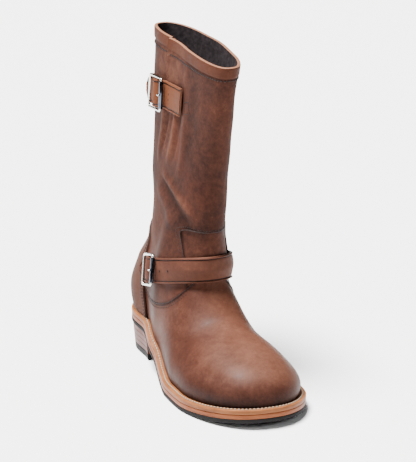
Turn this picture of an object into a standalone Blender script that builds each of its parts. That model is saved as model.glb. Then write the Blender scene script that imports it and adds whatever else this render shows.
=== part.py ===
"""Engineer boot for the right foot, as separate solids, in metres.

+Z is up and the floor is z = 0. The toe points to -Y and the outer (buckle) side to -X.
The origin is on the floor, in the middle of the heel.
"""

import bmesh
import bpy
import numpy as np

# Length of the foot and where its back end lies
FOOT_LENGTH = 0.283
HEEL_SEAT_BACK = 0.034
# Widths and heights of the last
BALL_WIDTH = 0.11
HEEL_WIDTH = 0.0745
TOE_HEIGHT = 0.0435
BALL_HEIGHT = 0.058
INSTEP_HEIGHT = 0.1065
FOREFOOT_SWING = 0.0129
# Sole
HEEL_HEIGHT = 0.0275
TOE_SPRING = 0.0065
OUTSOLE_THICKNESS = 0.0040
MIDSOLE_THICKNESS = 0.0045
WELT_THICKNESS = 0.0045
WELT_MARGIN_TOE = 0.0068
WELT_MARGIN_HEEL = 0.0056
WELT_INSET = 0.008
HEEL_BREAST = 0.075
TOP_LIFT_THICKNESS = 0.0065
HEEL_LIFTS = 4
# Shaft
BOOT_HEIGHT = 0.3285
COLLAR_LENGTH = 0.170
COLLAR_WIDTH = 0.037
COLLAR_BACK = 0.039
ANKLE_LENGTH = 0.136
ANKLE_WIDTH = 0.057
ANKLE_BACK = 0.026
ANKLE_HEIGHT = 0.1187
HEEL_CURVE_HEIGHT = 0.064
HEEL_CURVE_BACK = 0.0425
# The strapped collar lies over to the inner side, and its back corner turns outwards
COLLAR_SHIFT = 0.016
COLLAR_TURN = 0.013
THROAT_RADIUS = 0.047
# Leather
WALL = 0.0024
SHAFT_STEP = 0.0010
COUNTER_THICKNESS = 0.0016
BAND_HEIGHT = 0.011
BAND_THICKNESS = 0.0012
GUSSET_THICKNESS = 0.0012
INSOLE_THICKNESS = 0.0042
# Straps and buckles
INSTEP_STRAP_WIDTH = 0.0254
TOP_STRAP_WIDTH = 0.0280
TOP_STRAP_DROP = 0.0595
STRAP_THICKNESS = 0.0024
BAR_RADIUS = 0.0013
ROLLER_RADIUS = 0.0022
PRONG_RADIUS = 0.0009
BUCKLE_LENGTH = 0.028
# Slit in the outer side of the collar
SLIT_Y = -0.015
SLIT_FOOT_Y = -0.0275
SLIT_WIDTH = 0.0026
SLIT_DEPTH = 0.075
GUSSET_BELOW_SLIT = 0.0075
# Clearances: between touching pieces, and for the flats of two faceted curves
GAP = 0.0003
FACET_SLACK = 0.0005
COUNTER_SLACK = 0.0008

COLUMNS = 50
SOLE_STATIONS = 30

SOLE_THICKNESS = OUTSOLE_THICKNESS + MIDSOLE_THICKNESS + WELT_THICKNESS + 2 * GAP
HEEL_WELT_TOP = HEEL_HEIGHT + SOLE_THICKNESS
UPPER_BASE = HEEL_WELT_TOP + GAP


def smooth(t):
    t = np.clip(t, 0, 1)
    return t * t * (3 - 2 * t)


def end_slope(h0, h1, d0, d1):
    slope = ((2 * h0 + h1) * d0 - h0 * d1) / (h0 + h1)
    if slope * d0 <= 0:
        return 0.0
    if d0 * d1 <= 0 and abs(slope) > 3 * abs(d0):
        return 3 * d0
    return slope


def curve(t, knots, values):
    """Cubic through the knots that never overshoots between two of them."""
    knots = np.asarray(knots, float)
    values = np.asarray(values, float)
    h = np.diff(knots)
    d = np.diff(values) / h
    m = np.zeros(len(knots))
    for i in range(1, len(knots) - 1):
        if d[i - 1] * d[i] > 0:
            a = 2 * h[i] + h[i - 1]
            b = h[i] + 2 * h[i - 1]
            m[i] = (a + b) / (a / d[i - 1] + b / d[i])
    m[0] = end_slope(h[0], h[1], d[0], d[1])
    m[-1] = end_slope(h[-1], h[-2], d[-1], d[-2])
    t = np.clip(t, knots[0], knots[-1])
    i = np.clip(np.searchsorted(knots, t, side="right") - 1, 0, len(knots) - 2)
    q = (t - knots[i]) / h[i]
    rise = (1 + 2 * q) * (1 - q) ** 2 * values[i] + q * q * (3 - 2 * q) * values[i + 1]
    return rise + h[i] * (q * (1 - q) ** 2 * m[i] + q * q * (q - 1) * m[i + 1])


def columns(table):
    """The columns of a table of rows, without its first row of names."""
    return [np.array(column, float) for column in zip(*table[1:])]


# Half widths of the foot as shares of BALL_WIDTH, from the heel (0) to the toe (1)
FOOT_PLAN = [
    ("share", "outer", "inner", "roundness"),
    (0.00, 0.335, 0.335, 2.20),
    (0.12, 0.340, 0.335, 2.15),
    (0.26, 0.350, 0.310, 2.05),
    (0.40, 0.395, 0.300, 1.97),
    (0.52, 0.460, 0.350, 1.95),
    (0.63, 0.520, 0.430, 2.00),
    (0.73, 0.530, 0.470, 2.13),
    (0.85, 0.495, 0.465, 2.30),
    (0.93, 0.455, 0.435, 2.36),
    (1.00, 0.410, 0.400, 2.40),
]

# Height of the foot over the welt, as shares of three heights of the last
FOOT_RIDGE = [
    ("share", "of instep", "of ball", "of toe"),
    (0.00, 0.80, 0.00, 0.00),
    (0.25, 1.05, 0.00, 0.00),
    (0.38, 1.02, 0.00, 0.00),
    (0.50, 0.86, 0.00, 0.00),
    (0.62, 0.00, 1.02, 0.00),
    (0.72, 0.00, 0.90, 0.00),
    (0.86, 0.00, 0.00, 1.04),
    (1.00, 0.00, 0.00, 0.98),
]

# Levels that the grid of the upper follows, from the welt (0) to the band's edge (1).
# lift is a share of the leg, tilt the rise to the front, level 1 where the foot's own
# curve has faded out, and the last two are shares of FOOT_LENGTH from the heel.
LEVELS = [
    ("v", "lift", "tilt", "level", "front centre", "back centre"),
    (0.00, 0.000, 0.000, 0.0, 0.80, 0.115),
    (0.06, 0.014, 0.030, 0.0, 0.80, 0.115),
    (0.13, 0.028, 0.075, 0.0, 0.76, 0.115),
    (0.20, 0.042, 0.140, 0.0, 0.67, 0.115),
    (0.28, 0.060, 0.215, 0.1, 0.54, 0.120),
    (0.36, 0.082, 0.320, 0.3, 0.45, 0.125),
    (0.44, 0.115, 0.470, 0.6, 0.40, 0.135),
    (0.52, 0.165, 0.650, 0.8, 0.36, 0.150),
    (0.60, 0.240, 0.740, 1.0, 0.35, 0.17),
    (0.70, 0.380, 0.640, 1.0, 0.36, 0.18),
    (0.80, 0.560, 0.440, 1.0, 0.40, 0.18),
    (0.90, 0.770, 0.220, 1.0, 0.42, 0.17),
    (1.00, 1.000, 0.000, 1.0, 0.44, 0.16),
]


def foot_share(y):
    return (HEEL_SEAT_BACK - y) / FOOT_LENGTH


def sole_bottom(y):
    """Height of the outsole's underside: heel, arch, flat tread and toe spring."""
    s = foot_share(y)
    arch = HEEL_HEIGHT * (1 - smooth((s - 0.21) / 0.36))
    spring = TOE_SPRING * np.clip((s - 0.72) / 0.28, 0, 1.15) ** 1.8
    return arch + spring


def welt_top(y):
    return sole_bottom(y) + SOLE_THICKNESS


def foot_middle(y):
    return FOREFOOT_SWING * smooth((foot_share(y) - 0.15) / 0.85)


def foot_form(x, y, z):
    """Signed distance, roughly, to the foot part of the last."""
    s = foot_share(y)
    share, outer, inner, roundness = columns(FOOT_PLAN)
    ridge, of_instep, of_ball, of_toe = columns(FOOT_RIDGE)
    x = x - foot_middle(y)
    side = np.where(x < 0, curve(s, share, outer), curve(s, share, inner)) * BALL_WIDTH
    heights = of_instep * INSTEP_HEIGHT + of_ball * BALL_HEIGHT + of_toe * TOE_HEIGHT
    height = curve(s, ridge, heights)
    up = np.maximum(z - welt_top(y), 0)
    bulge = 1 + 0.05 * np.sin(np.pi * np.clip(up / (0.6 * height), 0, 1))
    power = curve(s, share, roundness)
    toe_cap = np.clip((s - 0.74) / 0.26, 0, None)
    heel_cap = np.clip((0.34 - s) / 0.31, 0, None)
    q = (np.abs(x) / (side * bulge)) ** power + (up / height) ** power
    q = (q + toe_cap ** (power + 0.1) + heel_cap**power) ** (1 / power)
    q = np.maximum(q, 1e-6)
    along = (toe_cap * 0.26 + heel_cap * 0.31) * FOOT_LENGTH
    return np.sqrt(x**2 + up**2 + along**2) * (1 - 1 / q)


def leg_rows():
    """The leg's sections: each has a back, front and half width, a middle that is shifted
    to the inner side, a back end that turns outwards, and a roundness."""
    low = HEEL_WELT_TOP
    mid = (HEEL_CURVE_HEIGHT + ANKLE_HEIGHT) / 2
    bend = ANKLE_HEIGHT + 0.35 * (BOOT_HEIGHT - ANKLE_HEIGHT)
    collar_front = COLLAR_BACK - COLLAR_LENGTH
    ankle_front = ANKLE_BACK - ANKLE_LENGTH
    heel_half = HEEL_WIDTH / 2
    ankle_half = ANKLE_WIDTH / 2
    collar_half = COLLAR_WIDTH / 2
    return [
        ("height", "back", "front", "half width", "shift", "turn", "roundness"),
        (low, HEEL_SEAT_BACK, -0.050, heel_half, 0, 0, 2.1),
        (HEEL_CURVE_HEIGHT, HEEL_CURVE_BACK, -0.052, heel_half + 0.002, 0, 0, 2.1),
        (mid, 0.55 * HEEL_CURVE_BACK + 0.45 * ANKLE_BACK, -0.060,
         (heel_half + ankle_half) / 2 + 0.001, 0, 0, 2.1),
        (ANKLE_HEIGHT, ANKLE_BACK, ankle_front, ankle_half, 0.09 * COLLAR_SHIFT, 0, 2.1),
        (bend, ANKLE_BACK + 0.54 * (COLLAR_BACK - ANKLE_BACK),
         ankle_front + 0.28 * (collar_front - ankle_front),
         ankle_half + 0.43 * (collar_half - ankle_half),
         0.34 * COLLAR_SHIFT, 0.22 * COLLAR_TURN, 2.3),
        (BOOT_HEIGHT, COLLAR_BACK, collar_front, collar_half, COLLAR_SHIFT, COLLAR_TURN, 2.7),
    ]


def shaft_middle(z):
    """The middle of the leg from side to side."""
    height, _, _, _, shift, _, _ = columns(leg_rows())
    return curve(z, height, shift)


def leg_form(x, y, z):
    """Signed distance, roughly, to the leg part of the last: oval sections."""
    height, back, front, half, shift, turn, roundness = columns(leg_rows())
    z = np.clip(z, height[0], height[-1])
    rear = curve(z, height, back)
    fore = curve(z, height, front)
    wide = curve(z, height, half)
    power = curve(z, height, roundness)
    y = y - (rear + fore) / 2
    end = np.clip(y / ((rear - fore) / 2), 0, 1.2)
    x = x - curve(z, height, shift) + curve(z, height, turn) * end**1.5
    q = (np.abs(x) / wide) ** power + (np.abs(y) / ((rear - fore) / 2)) ** power
    q = np.maximum(q ** (1 / power), 1e-6)
    return np.sqrt(x**2 + y**2) * (1 - 1 / q)


def last_form(x, y, z):
    """Foot and leg joined with a soft throat in front and a tight one behind."""
    foot = foot_form(x, y, z)
    leg = leg_form(x, y, z)
    k = 0.008 + (THROAT_RADIUS - 0.008) * smooth((-0.03 - y) / 0.04)
    h = np.clip(0.5 + 0.5 * (leg - foot) / k, 0, 1)
    return leg * (1 - h) + foot * h - k * h * (1 - h)


def cast(x0, y0, dx, dy, height_at, reach=0.17):
    """Points where rays from (x0, y0), kept at the height given for their y, leave the last."""

    def at(r):
        y = y0 + r * dy
        return x0 + r * dx, y, height_at(y)

    shape = np.broadcast(x0, y0, dx, dy, height_at(np.asarray(y0, float))).shape
    low = np.zeros(shape)
    high = np.full(shape, reach)
    found = np.zeros(shape, bool)
    before = 0.0
    for step in np.linspace(0.005, reach, 34):
        new = (last_form(*at(np.full(shape, step))) > 0) & ~found
        high = np.where(new, step, high)
        low = np.where(new, before, low)
        found |= new
        before = step
    for _ in range(16):
        middle = (low + high) / 2
        inside = last_form(*at(middle)) < 0
        low = np.where(inside, middle, low)
        high = np.where(inside, high, middle)
    return np.stack(np.broadcast_arrays(*at((low + high) / 2)), -1)


def upper_surface(u, v):
    """Outer face of the upper: u goes round from the toe by the outer side, v up."""
    u, v = np.broadcast_arrays(np.asarray(u, float), np.asarray(v, float))
    knots, lift, tilt, level, fore, rear = columns(LEVELS)
    leg = BOOT_HEIGHT - BAND_HEIGHT - UPPER_BASE
    up = curve(v, knots, lift) * leg + np.clip((v - 1) / 0.05, 0, 1) * BAND_HEIGHT
    rise = curve(v, knots, tilt)
    flat = curve(v, knots, level)
    turn = 2 * np.pi * u
    fore = curve(v, knots, fore)
    rear = curve(v, knots, rear)
    share = rear + (fore - rear) * (1 + np.cos(turn)) / 2
    y0 = HEEL_SEAT_BACK - FOOT_LENGTH * share

    def height_at(y):
        base = (1 - flat) * (welt_top(y) + GAP) + flat * UPPER_BASE
        return base + up + rise * (HEEL_SEAT_BACK - y)

    x0 = foot_middle(y0) * (1 - flat) + shaft_middle(height_at(y0)) * flat
    return cast(x0, y0, -np.sin(turn), -np.cos(turn), height_at)


def shell_normals(grid, closed=True):
    """Unit normals of a grid of rows (up) by columns (round), pointing out."""
    up = np.gradient(grid, axis=0)
    if closed:
        along = np.roll(grid, -1, 1) - np.roll(grid, 1, 1)
    else:
        along = np.gradient(grid, axis=1)
    normal = np.cross(up, along)
    return normal / np.linalg.norm(normal, axis=2, keepdims=True)


def level_normals(grid, closed=True):
    """Normals of shell_normals laid level, for a row that lies on a flat seat."""
    normal = shell_normals(grid, closed).copy()
    normal[..., 2] = 0
    return normal / np.linalg.norm(normal, axis=2, keepdims=True)


# Materials

LOOKS = {
    "upper_leather": ((0.165, 0.074, 0.046), 0.55, 0.0),
    "strap_leather": ((0.190, 0.082, 0.050), 0.50, 0.0),
    "gusset_leather": ((0.450, 0.190, 0.090), 0.60, 0.0),
    "sole_leather": ((0.500, 0.240, 0.140), 0.50, 0.0),
    "heel_leather": ((0.350, 0.110, 0.060), 0.40, 0.0),
    "rubber": ((0.045, 0.045, 0.048), 0.60, 0.0),
    "insole_board": ((0.300, 0.200, 0.130), 0.70, 0.0),
    "polished_nickel": ((0.800, 0.790, 0.760), 0.12, 1.0),
}


def material(name):
    found = bpy.data.materials.get(name)
    if found:
        return found
    colour, roughness, metallic = LOOKS[name]
    made = bpy.data.materials.new(name)
    made.use_nodes = True
    shader = made.node_tree.nodes["Principled BSDF"]
    shader.inputs["Base Color"].default_value = (*colour, 1)
    shader.inputs["Roughness"].default_value = roughness
    shader.inputs["Metallic"].default_value = metallic
    return made


def solid(name, points, faces, look, smooth_angle=0.7):
    """An object from points and faces, with its normals turned outwards."""
    mesh = bpy.data.meshes.new(name)
    mesh.from_pydata([tuple(p) for p in points], [], faces)
    bm = bmesh.new()
    bm.from_mesh(mesh)
    bmesh.ops.remove_doubles(bm, verts=bm.verts, dist=1e-6)
    bmesh.ops.recalc_face_normals(bm, faces=bm.faces)
    if bm.calc_volume(signed=True) < 0:
        bmesh.ops.reverse_faces(bm, faces=bm.faces)
    bm.to_mesh(mesh)
    bm.free()
    mesh.shade_smooth()
    mesh.set_sharp_from_angle(angle=smooth_angle)
    mesh.materials.append(material(look))
    obj = bpy.data.objects.new(name, mesh)
    bpy.context.collection.objects.link(obj)
    return obj


def hide_cutter(obj):
    obj.hide_render = True
    obj.display_type = "WIRE"


def cut(obj, cutter, operation):
    change = obj.modifiers.new(cutter.name, "BOOLEAN")
    change.operation = operation
    change.object = cutter
    change.solver = "EXACT"
    hide_cutter(cutter)


def hoop(name, rings, look):
    """A closed band: rings of equal length, joined one to the next and last to first."""
    count = len(rings[0])
    points = np.concatenate(rings)
    faces = []
    for i in range(len(rings)):
        a = i * count
        b = (i + 1) % len(rings) * count
        for j in range(count):
            k = (j + 1) % count
            faces.append((a + j, a + k, b + k, b + j))
    return solid(name, points, faces, look)


def slab(name, inner, outer, look):
    """A closed sheet between two equal open grids."""
    rows, count = inner.shape[:2]
    points = np.concatenate([inner.reshape(-1, 3), outer.reshape(-1, 3)])
    faces = []
    for base in (0, rows * count):
        for i in range(rows - 1):
            for j in range(count - 1):
                a = base + i * count + j
                faces.append((a, a + 1, a + count + 1, a + count))
    border = [j for j in range(count)]
    border += [i * count + count - 1 for i in range(1, rows)]
    border += [(rows - 1) * count + j for j in range(count - 2, -1, -1)]
    border += [i * count for i in range(rows - 2, 0, -1)]
    shift = rows * count
    for a, b in zip(border, border[1:] + border[:1]):
        faces.append((a, b, b + shift, a + shift))
    return solid(name, points, faces, look)


def prism(name, outline, axis, low, high):
    """A cutter: an outline of two coordinates, drawn out along the axis X or Y."""
    points = []
    for depth in (low, high):
        for a, b in outline:
            points.append((depth, a, b) if axis == "X" else (a, depth, b))
    count = len(outline)
    faces = [tuple(range(count)), tuple(range(2 * count - 1, count - 1, -1))]
    for j in range(count):
        k = (j + 1) % count
        faces.append((j, k, count + k, count + j))
    return solid(name, points, faces, "upper_leather")


# Sole


def feather_line():
    """Where the upper meets the welt, seen from above."""
    turns = np.arange(4 * COLUMNS) / (4 * COLUMNS)
    return upper_surface(turns, np.zeros_like(turns))


def margin_line(extra=0.0, inset=None):
    """The feather line moved out by the welt's margin, or in by an inset."""
    ring = feather_line()
    along = np.roll(ring, -1, 0) - np.roll(ring, 1, 0)
    out = np.stack([-along[:, 1], along[:, 0]], -1)
    out /= np.linalg.norm(out, axis=1, keepdims=True)
    if ((ring[:, :2] - ring[:, :2].mean(0)) * out).sum() < 0:
        out = -out
    wide = smooth((foot_share(ring[:, 1]) - 0.3) / 0.35)
    margin = WELT_MARGIN_HEEL + (WELT_MARGIN_TOE - WELT_MARGIN_HEEL) * wide + extra
    if inset is not None:
        margin = np.full(len(ring), -inset)
    return ring[:, :2] + out * margin[:, None]


def side_lines(line, front=None, stations=SOLE_STATIONS):
    """Stations along a closed line: y, outer x and inner x, closer at the round ends."""
    toe = int(np.argmin(line[:, 1]))
    line = np.roll(line, -toe, axis=0)
    heel = int(np.argmax(line[:, 1]))
    halves = [line[: heel + 1], np.concatenate([line[heel:], line[:1]])]
    halves = [half[np.argsort(half[:, 1])] for half in halves]
    low = line[:, 1].min() + 2e-4
    high = line[:, 1].max() - 2e-4
    turn = np.linspace(0, np.pi, stations)
    y = (low + high) / 2 - (high - low) / 2 * np.cos(turn)
    if front is not None:
        reach = np.linspace(0, 1, stations // 2)
        y = front + (high - front) * np.sin(reach * np.pi / 2)
    sides = [np.interp(y, half[:, 1], half[:, 0]) for half in halves]
    return y, np.minimum(*sides), np.maximum(*sides)


def ply(name, lines, top, bottom, look, shrink=(1.0, 1.0)):
    """A layer of the sole between two heights given along y."""
    y, outer, inner = lines
    middle = (outer + inner) / 2
    sections = []
    for height_at, scale in ((top, shrink[0]), (bottom, shrink[1])):
        ys = y.min() + (y - y.min()) * scale
        z = height_at(y)
        for x in (outer, inner):
            sections.append(np.stack([middle + (x - middle) * scale, ys, z], -1))
    count = len(y)
    points = np.concatenate(sections)
    a, b, c, d = (i * count for i in range(4))
    faces = []
    for i in range(count - 1):
        faces.append((a + i, a + i + 1, b + i + 1, b + i))
        faces.append((c + i, d + i, d + i + 1, c + i + 1))
        faces.append((a + i, c + i, c + i + 1, a + i + 1))
        faces.append((b + i, b + i + 1, d + i + 1, d + i))
    faces.append((a, b, d, c))
    last = count - 1
    faces.append((a + last, c + last, d + last, b + last))
    return solid(name, points, faces, look, smooth_angle=0.5)


def make_sole():
    line = side_lines(margin_line())
    trimmed = side_lines(margin_line(extra=-0.0005))
    outsole_top = lambda y: sole_bottom(y) + OUTSOLE_THICKNESS
    midsole_bottom = lambda y: outsole_top(y) + GAP
    midsole_top = lambda y: midsole_bottom(y) + MIDSOLE_THICKNESS
    ply("outsole", line, outsole_top, sole_bottom, "rubber")
    ply("midsole", trimmed, midsole_top, midsole_bottom, "sole_leather")

    def level(ring, height_at):
        return np.column_stack([ring, height_at(ring[:, 1])])

    keep = slice(None, None, 4)
    outer = margin_line()[keep]
    inner = margin_line(inset=WELT_INSET)[keep]
    low = lambda y: midsole_top(y) + 2 * GAP
    hoop("welt", [level(outer, low), level(inner, low), level(inner, welt_top), level(outer, welt_top)],
         "sole_leather")
    board = side_lines(margin_line(inset=WELT_INSET + GAP + FACET_SLACK), stations=24)
    rest = lambda y: midsole_top(y) + GAP + FACET_SLACK
    ply("insole", board, lambda y: rest(y) + INSOLE_THICKNESS, rest, "insole_board")


def make_heel():
    """Leather lifts and a rubber lift, tapering a little to the floor."""
    front = HEEL_SEAT_BACK - HEEL_BREAST
    line = side_lines(margin_line(extra=-0.001), front=front, stations=26)
    stack = HEEL_HEIGHT - TOP_LIFT_THICKNESS - GAP
    lift = (stack - GAP * HEEL_LIFTS) / HEEL_LIFTS

    def shrink(z):
        return 1 - 0.05 * (1 - z / HEEL_HEIGHT)

    def flat(z):
        return lambda y: np.full(len(y), z)

    ply("top_lift", line, flat(TOP_LIFT_THICKNESS), flat(0.0), "rubber",
        (shrink(TOP_LIFT_THICKNESS), shrink(0)))
    z = TOP_LIFT_THICKNESS + GAP
    for i in range(HEEL_LIFTS):
        top = flat(z + lift)
        if i == HEEL_LIFTS - 1:
            top = lambda y: sole_bottom(y) - 2 * GAP
        ply(f"heel_lift_{i + 1}", line, top, flat(z), "heel_leather", (shrink(z + lift), shrink(z)))
        z += lift + GAP


# Upper

# The shaft leather's lower edge over the vamp, seen from the side, as shares: y of
# FOOT_LENGTH from the heel, z of ANKLE_HEIGHT from the welt's top at the heel
SHAFT_EDGE = [
    ("share", "height"),
    (0.205, 0.36),
    (0.28, 0.33),
    (0.36, 0.34),
    (0.42, 0.38),
    (0.465, 0.45),
    (0.495, 0.56),
    (0.51, 0.75),
]
WINDOW_HALF_WIDTH = 0.0235
WINDOW_TOP = 0.155
WINDOW_CORNER = 0.008
WINDOW_MIDDLE = 0.003


# Rows of the upper's grid, closest together where the throat and the ankle bend
GRID_ROWS = [
    0.00, 0.035, 0.07, 0.11, 0.15, 0.19, 0.23, 0.27, 0.31, 0.35, 0.39, 0.43, 0.47,
    0.51, 0.54, 0.57, 0.595, 0.62, 0.65, 0.69, 0.75, 0.82, 0.91, 1.00, 1.05,
]


def upper_grid():
    v = np.array(GRID_ROWS)
    u = np.arange(COLUMNS) / COLUMNS
    return upper_surface(u[None, :], v[:, None])


def moved_grid(grid, distance):
    """The grid moved along its normals, with its lowest and highest rows kept level."""
    normal = shell_normals(grid)
    flat = level_normals(grid)
    normal[[0, -1]] = flat[[0, -1]]
    return grid + normal * distance


def shell_between(name, grid, low, high, look):
    """A hollow body between two distances from the grid, open above and below."""
    inner = moved_grid(grid, low)
    outer = moved_grid(grid, high)
    rings = [*outer, *inner[::-1]]
    return hoop(name, rings, look)


def shaft_edge_outline():
    share, height = columns(SHAFT_EDGE)
    y = HEEL_SEAT_BACK - FOOT_LENGTH * share
    z = HEEL_WELT_TOP + ANKLE_HEIGHT * height - 0.01
    rear = y[0]
    top = BOOT_HEIGHT - 0.002
    outline = list(zip(y, z))
    outline += [(-0.2, z[-1]), (-0.2, top), (0.1, top)]
    outline += [(0.1, UPPER_BASE + 0.002), (rear, UPPER_BASE + 0.002)]
    return outline


def window_outline():
    """A squared opening with round upper corners, seen from the front."""
    left = WINDOW_MIDDLE - WINDOW_HALF_WIDTH
    right = WINDOW_MIDDLE + WINDOW_HALF_WIDTH
    outline = [(left, 0.02)]
    for i in range(5):
        turn = np.pi / 2 * i / 4
        outline.append((left + WINDOW_CORNER * (1 - np.cos(turn)),
                        WINDOW_TOP - WINDOW_CORNER * (1 - np.sin(turn))))
    for x, z in outline[:0:-1]:
        outline.append((left + right - x, z))
    outline.append((right, 0.02))
    return outline


def triangulate(obj):
    """Split the bent quads, so that every cut sees the same flat faces."""
    bm = bmesh.new()
    bm.from_mesh(obj.data)
    bmesh.ops.triangulate(bm, faces=bm.faces, quad_method="FIXED")
    bm.to_mesh(obj.data)
    bm.free()


def make_upper(grid):
    upper = shell_between("upper", grid, -WALL, 0.0, "upper_leather")
    cover = shell_between("shaft_cover", grid, -0.8 * WALL, SHAFT_STEP, "upper_leather")
    triangulate(upper)
    triangulate(cover)
    side = prism("shaft_side_outline", shaft_edge_outline(), "X", -0.2, 0.2)
    window = prism("window_outline", window_outline(), "Y", -0.3, -0.05)
    cut(cover, side, "INTERSECT")
    cut(cover, window, "DIFFERENCE")
    cut(upper, cover, "UNION")
    low = BOOT_HEIGHT - SLIT_DEPTH
    bend = BOOT_HEIGHT - BAND_HEIGHT
    half = SLIT_WIDTH / 2
    line = [(SLIT_FOOT_Y, low), (SLIT_Y, bend), (SLIT_Y, BOOT_HEIGHT + 0.05)]
    wedge = [(y - half, z) for y, z in line] + [(y + half, z) for y, z in reversed(line)]
    slit = prism("slit_outline", wedge, "X", -0.1, 0.4 * COLLAR_SHIFT)
    cut(upper, slit, "DIFFERENCE")


def sheet_ring(turns, middle, slope, rear, front):
    """The last cut by a sheet, middle high at y = 0, that rises by slope to the front.

    A turn of 0 faces the toe, and turns go round by the outer side. The rays start
    between rear and front."""
    y0 = rear + (front - rear) * (1 + np.cos(turns)) / 2
    x0 = shaft_middle(middle) + 0 * y0

    def height_at(y):
        return middle - slope * y

    return cast(x0, y0, -np.sin(turns), -np.cos(turns), height_at)


def lengths(points):
    return np.append(0, np.cumsum(np.linalg.norm(np.diff(points, axis=0), axis=1)))


def evenly(turns, count, *sheet):
    """Turns between the first and last given, at even lengths along the sheet's ring."""
    dense = np.linspace(turns[0], turns[-1], 181)
    length = lengths(sheet_ring(dense, *sheet))
    return np.interp(np.linspace(0, length[-1], count), length, dense)


# The counter's front edge, the same on both sides, over its height
COUNTER_EDGE = [
    ("height share", "y"),
    (0.00, -0.0325),
    (0.12, -0.0310),
    (0.25, -0.0275),
    (0.39, -0.0240),
    (0.64, -0.0155),
    (0.82, -0.0060),
    (1.00, 0.0080),
]
COUNTER_TOP = 0.130


def counter_edge(z):
    share, edge = columns(COUNTER_EDGE)
    return curve((z - UPPER_BASE) / (COUNTER_TOP - UPPER_BASE), share, edge)


def patch(heights, edges, count, rear, front):
    """Points on the last on level sheets, round the back from edge to edge of each."""
    rows = []
    for z, edge in zip(heights, edges):
        sheet = (z, 0.0, rear, front)
        turns = np.linspace(0.35 * np.pi, np.pi, 241)
        outer = sheet_ring(turns, *sheet)
        inner = sheet_ring(-turns, *sheet)
        start = np.interp(edge, outer[:, 1], turns)
        stop = 2 * np.pi - np.interp(edge, inner[:, 1], turns)
        rows.append(sheet_ring(evenly((start, stop), count, *sheet), *sheet))
    return np.array(rows)


def make_counter():
    z = np.linspace(UPPER_BASE + 0.0002, COUNTER_TOP, 12)
    grid = patch(z, counter_edge(z), 22, -0.002, -0.016)
    normal = shell_normals(grid, closed=False)
    normal[0] = level_normals(grid, closed=False)[0]
    clear = SHAFT_STEP + GAP + COUNTER_SLACK
    slab("counter", grid + normal * clear, grid + normal * (clear + COUNTER_THICKNESS), "upper_leather")


def make_band():
    """The band round the collar, broken at the slit."""
    turns = np.linspace(0.02, 0.48, 181)
    ring = upper_surface(turns, np.full(181, 1.02))
    half = SLIT_WIDTH / 2
    start, stop = np.interp([SLIT_Y + half, SLIT_Y - half], ring[:, 1], turns)
    u = np.arange(2 * COLUMNS) / COLUMNS
    u = u[(u > start + 0.004) & (u < stop + 0.996)]
    u = np.concatenate([[start], u, [stop + 1]])
    grid = upper_surface(u[None, :], np.array([[1.0], [1.05]]))
    normal = level_normals(grid, closed=False)
    low = SHAFT_STEP + GAP
    slab("top_band", grid + normal * low, grid + normal * (low + BAND_THICKNESS), "upper_leather")


# The soft piece behind the slit: from and to this y, and up from this height
GUSSET_SPAN = (-0.045, 0.002)
GUSSET_LOW = BOOT_HEIGHT - SLIT_DEPTH - GUSSET_BELOW_SLIT


def make_gusset():
    rows = []
    for z in np.linspace(GUSSET_LOW, BOOT_HEIGHT - 0.002, 6):
        sheet = (z, 0.0, -0.012, -0.090)
        turns = np.linspace(0.15 * np.pi, 0.85 * np.pi, 181)
        ends = np.interp(GUSSET_SPAN, sheet_ring(turns, *sheet)[:, 1], turns)
        rows.append(sheet_ring(evenly(ends, 8, *sheet), *sheet))
    grid = np.array(rows)
    normal = level_normals(grid, closed=False)
    low = -WALL - GAP
    slab("gusset", grid + normal * (low - GUSSET_THICKNESS), grid + normal * low, "gusset_leather")


# Straps. Lengths along a strap are in metres from the roller, to the back.
# A strap's lift is the distance of its inner face from the last.
STRAP_LIFT = SHAFT_STEP + GAP + 0.0004
BILLET = [
    ("along", "lift", "width share"),
    (-0.014, STRAP_LIFT + 0.0008, 1.0),
    (-0.004, STRAP_LIFT, 1.0),
    (0.0030, STRAP_LIFT, 1.0),
    (0.0054, 0.0034, 1.0),
    (0.008, 0.0062, 1.0),
    (0.011, 0.0078, 1.0),
    (0.014, 0.0082, 1.0),
    (0.018, 0.0072, 1.0),
    (0.022, 0.0054, 1.0),
    (0.025, 0.0047, 1.0),
    (0.030, 0.0047, 1.0),
    (0.034, 0.0052, 0.98),
    (0.038, 0.0060, 0.80),
    (0.043, 0.0072, 0.16),
]
CHAPE = [
    ("along", "lift", "width share"),
    (0.0158, 0.0046, 0.96),
    (0.0185, 0.0036, 0.96),
    (0.022, 0.0021, 0.96),
    (0.025, STRAP_LIFT, 0.96),
]
PRONG = [
    ("along", "height"),
    (-0.0020, 0.0104),
    (0.0000, 0.0110),
    (0.0030, 0.0098),
    (0.0060, 0.0071),
    (0.0090, 0.0060),
    (0.0122, 0.0058),
]
ROLLER_HEIGHT = 0.0076
REAR_BAR_HEIGHT = 0.0095
CENTRE_BAR_AT = (0.0140, 0.0060)
CENTRE_BAR_RADIUS = 0.0011
PRONG_HOLE = (0.0046, 0.0106)
ROLLER_WALL = 0.0005
BUCKLE_CORNER = 0.0020

# Sheet under each strap: height at y = 0, rise to the front, and its rays' origins
INSTEP_SHEET = (0.0847, 0.295, -0.004, -0.070)
TOP_SHEET = (BOOT_HEIGHT - TOP_STRAP_DROP, 0.10, -0.012, -0.090)
INSTEP_ROLLER_Y = -0.066
TOP_ROLLER_Y = -0.019
TOP_STRAP_FRONT = -0.0625
TOP_CHAPE_BACK = 0.027


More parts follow.
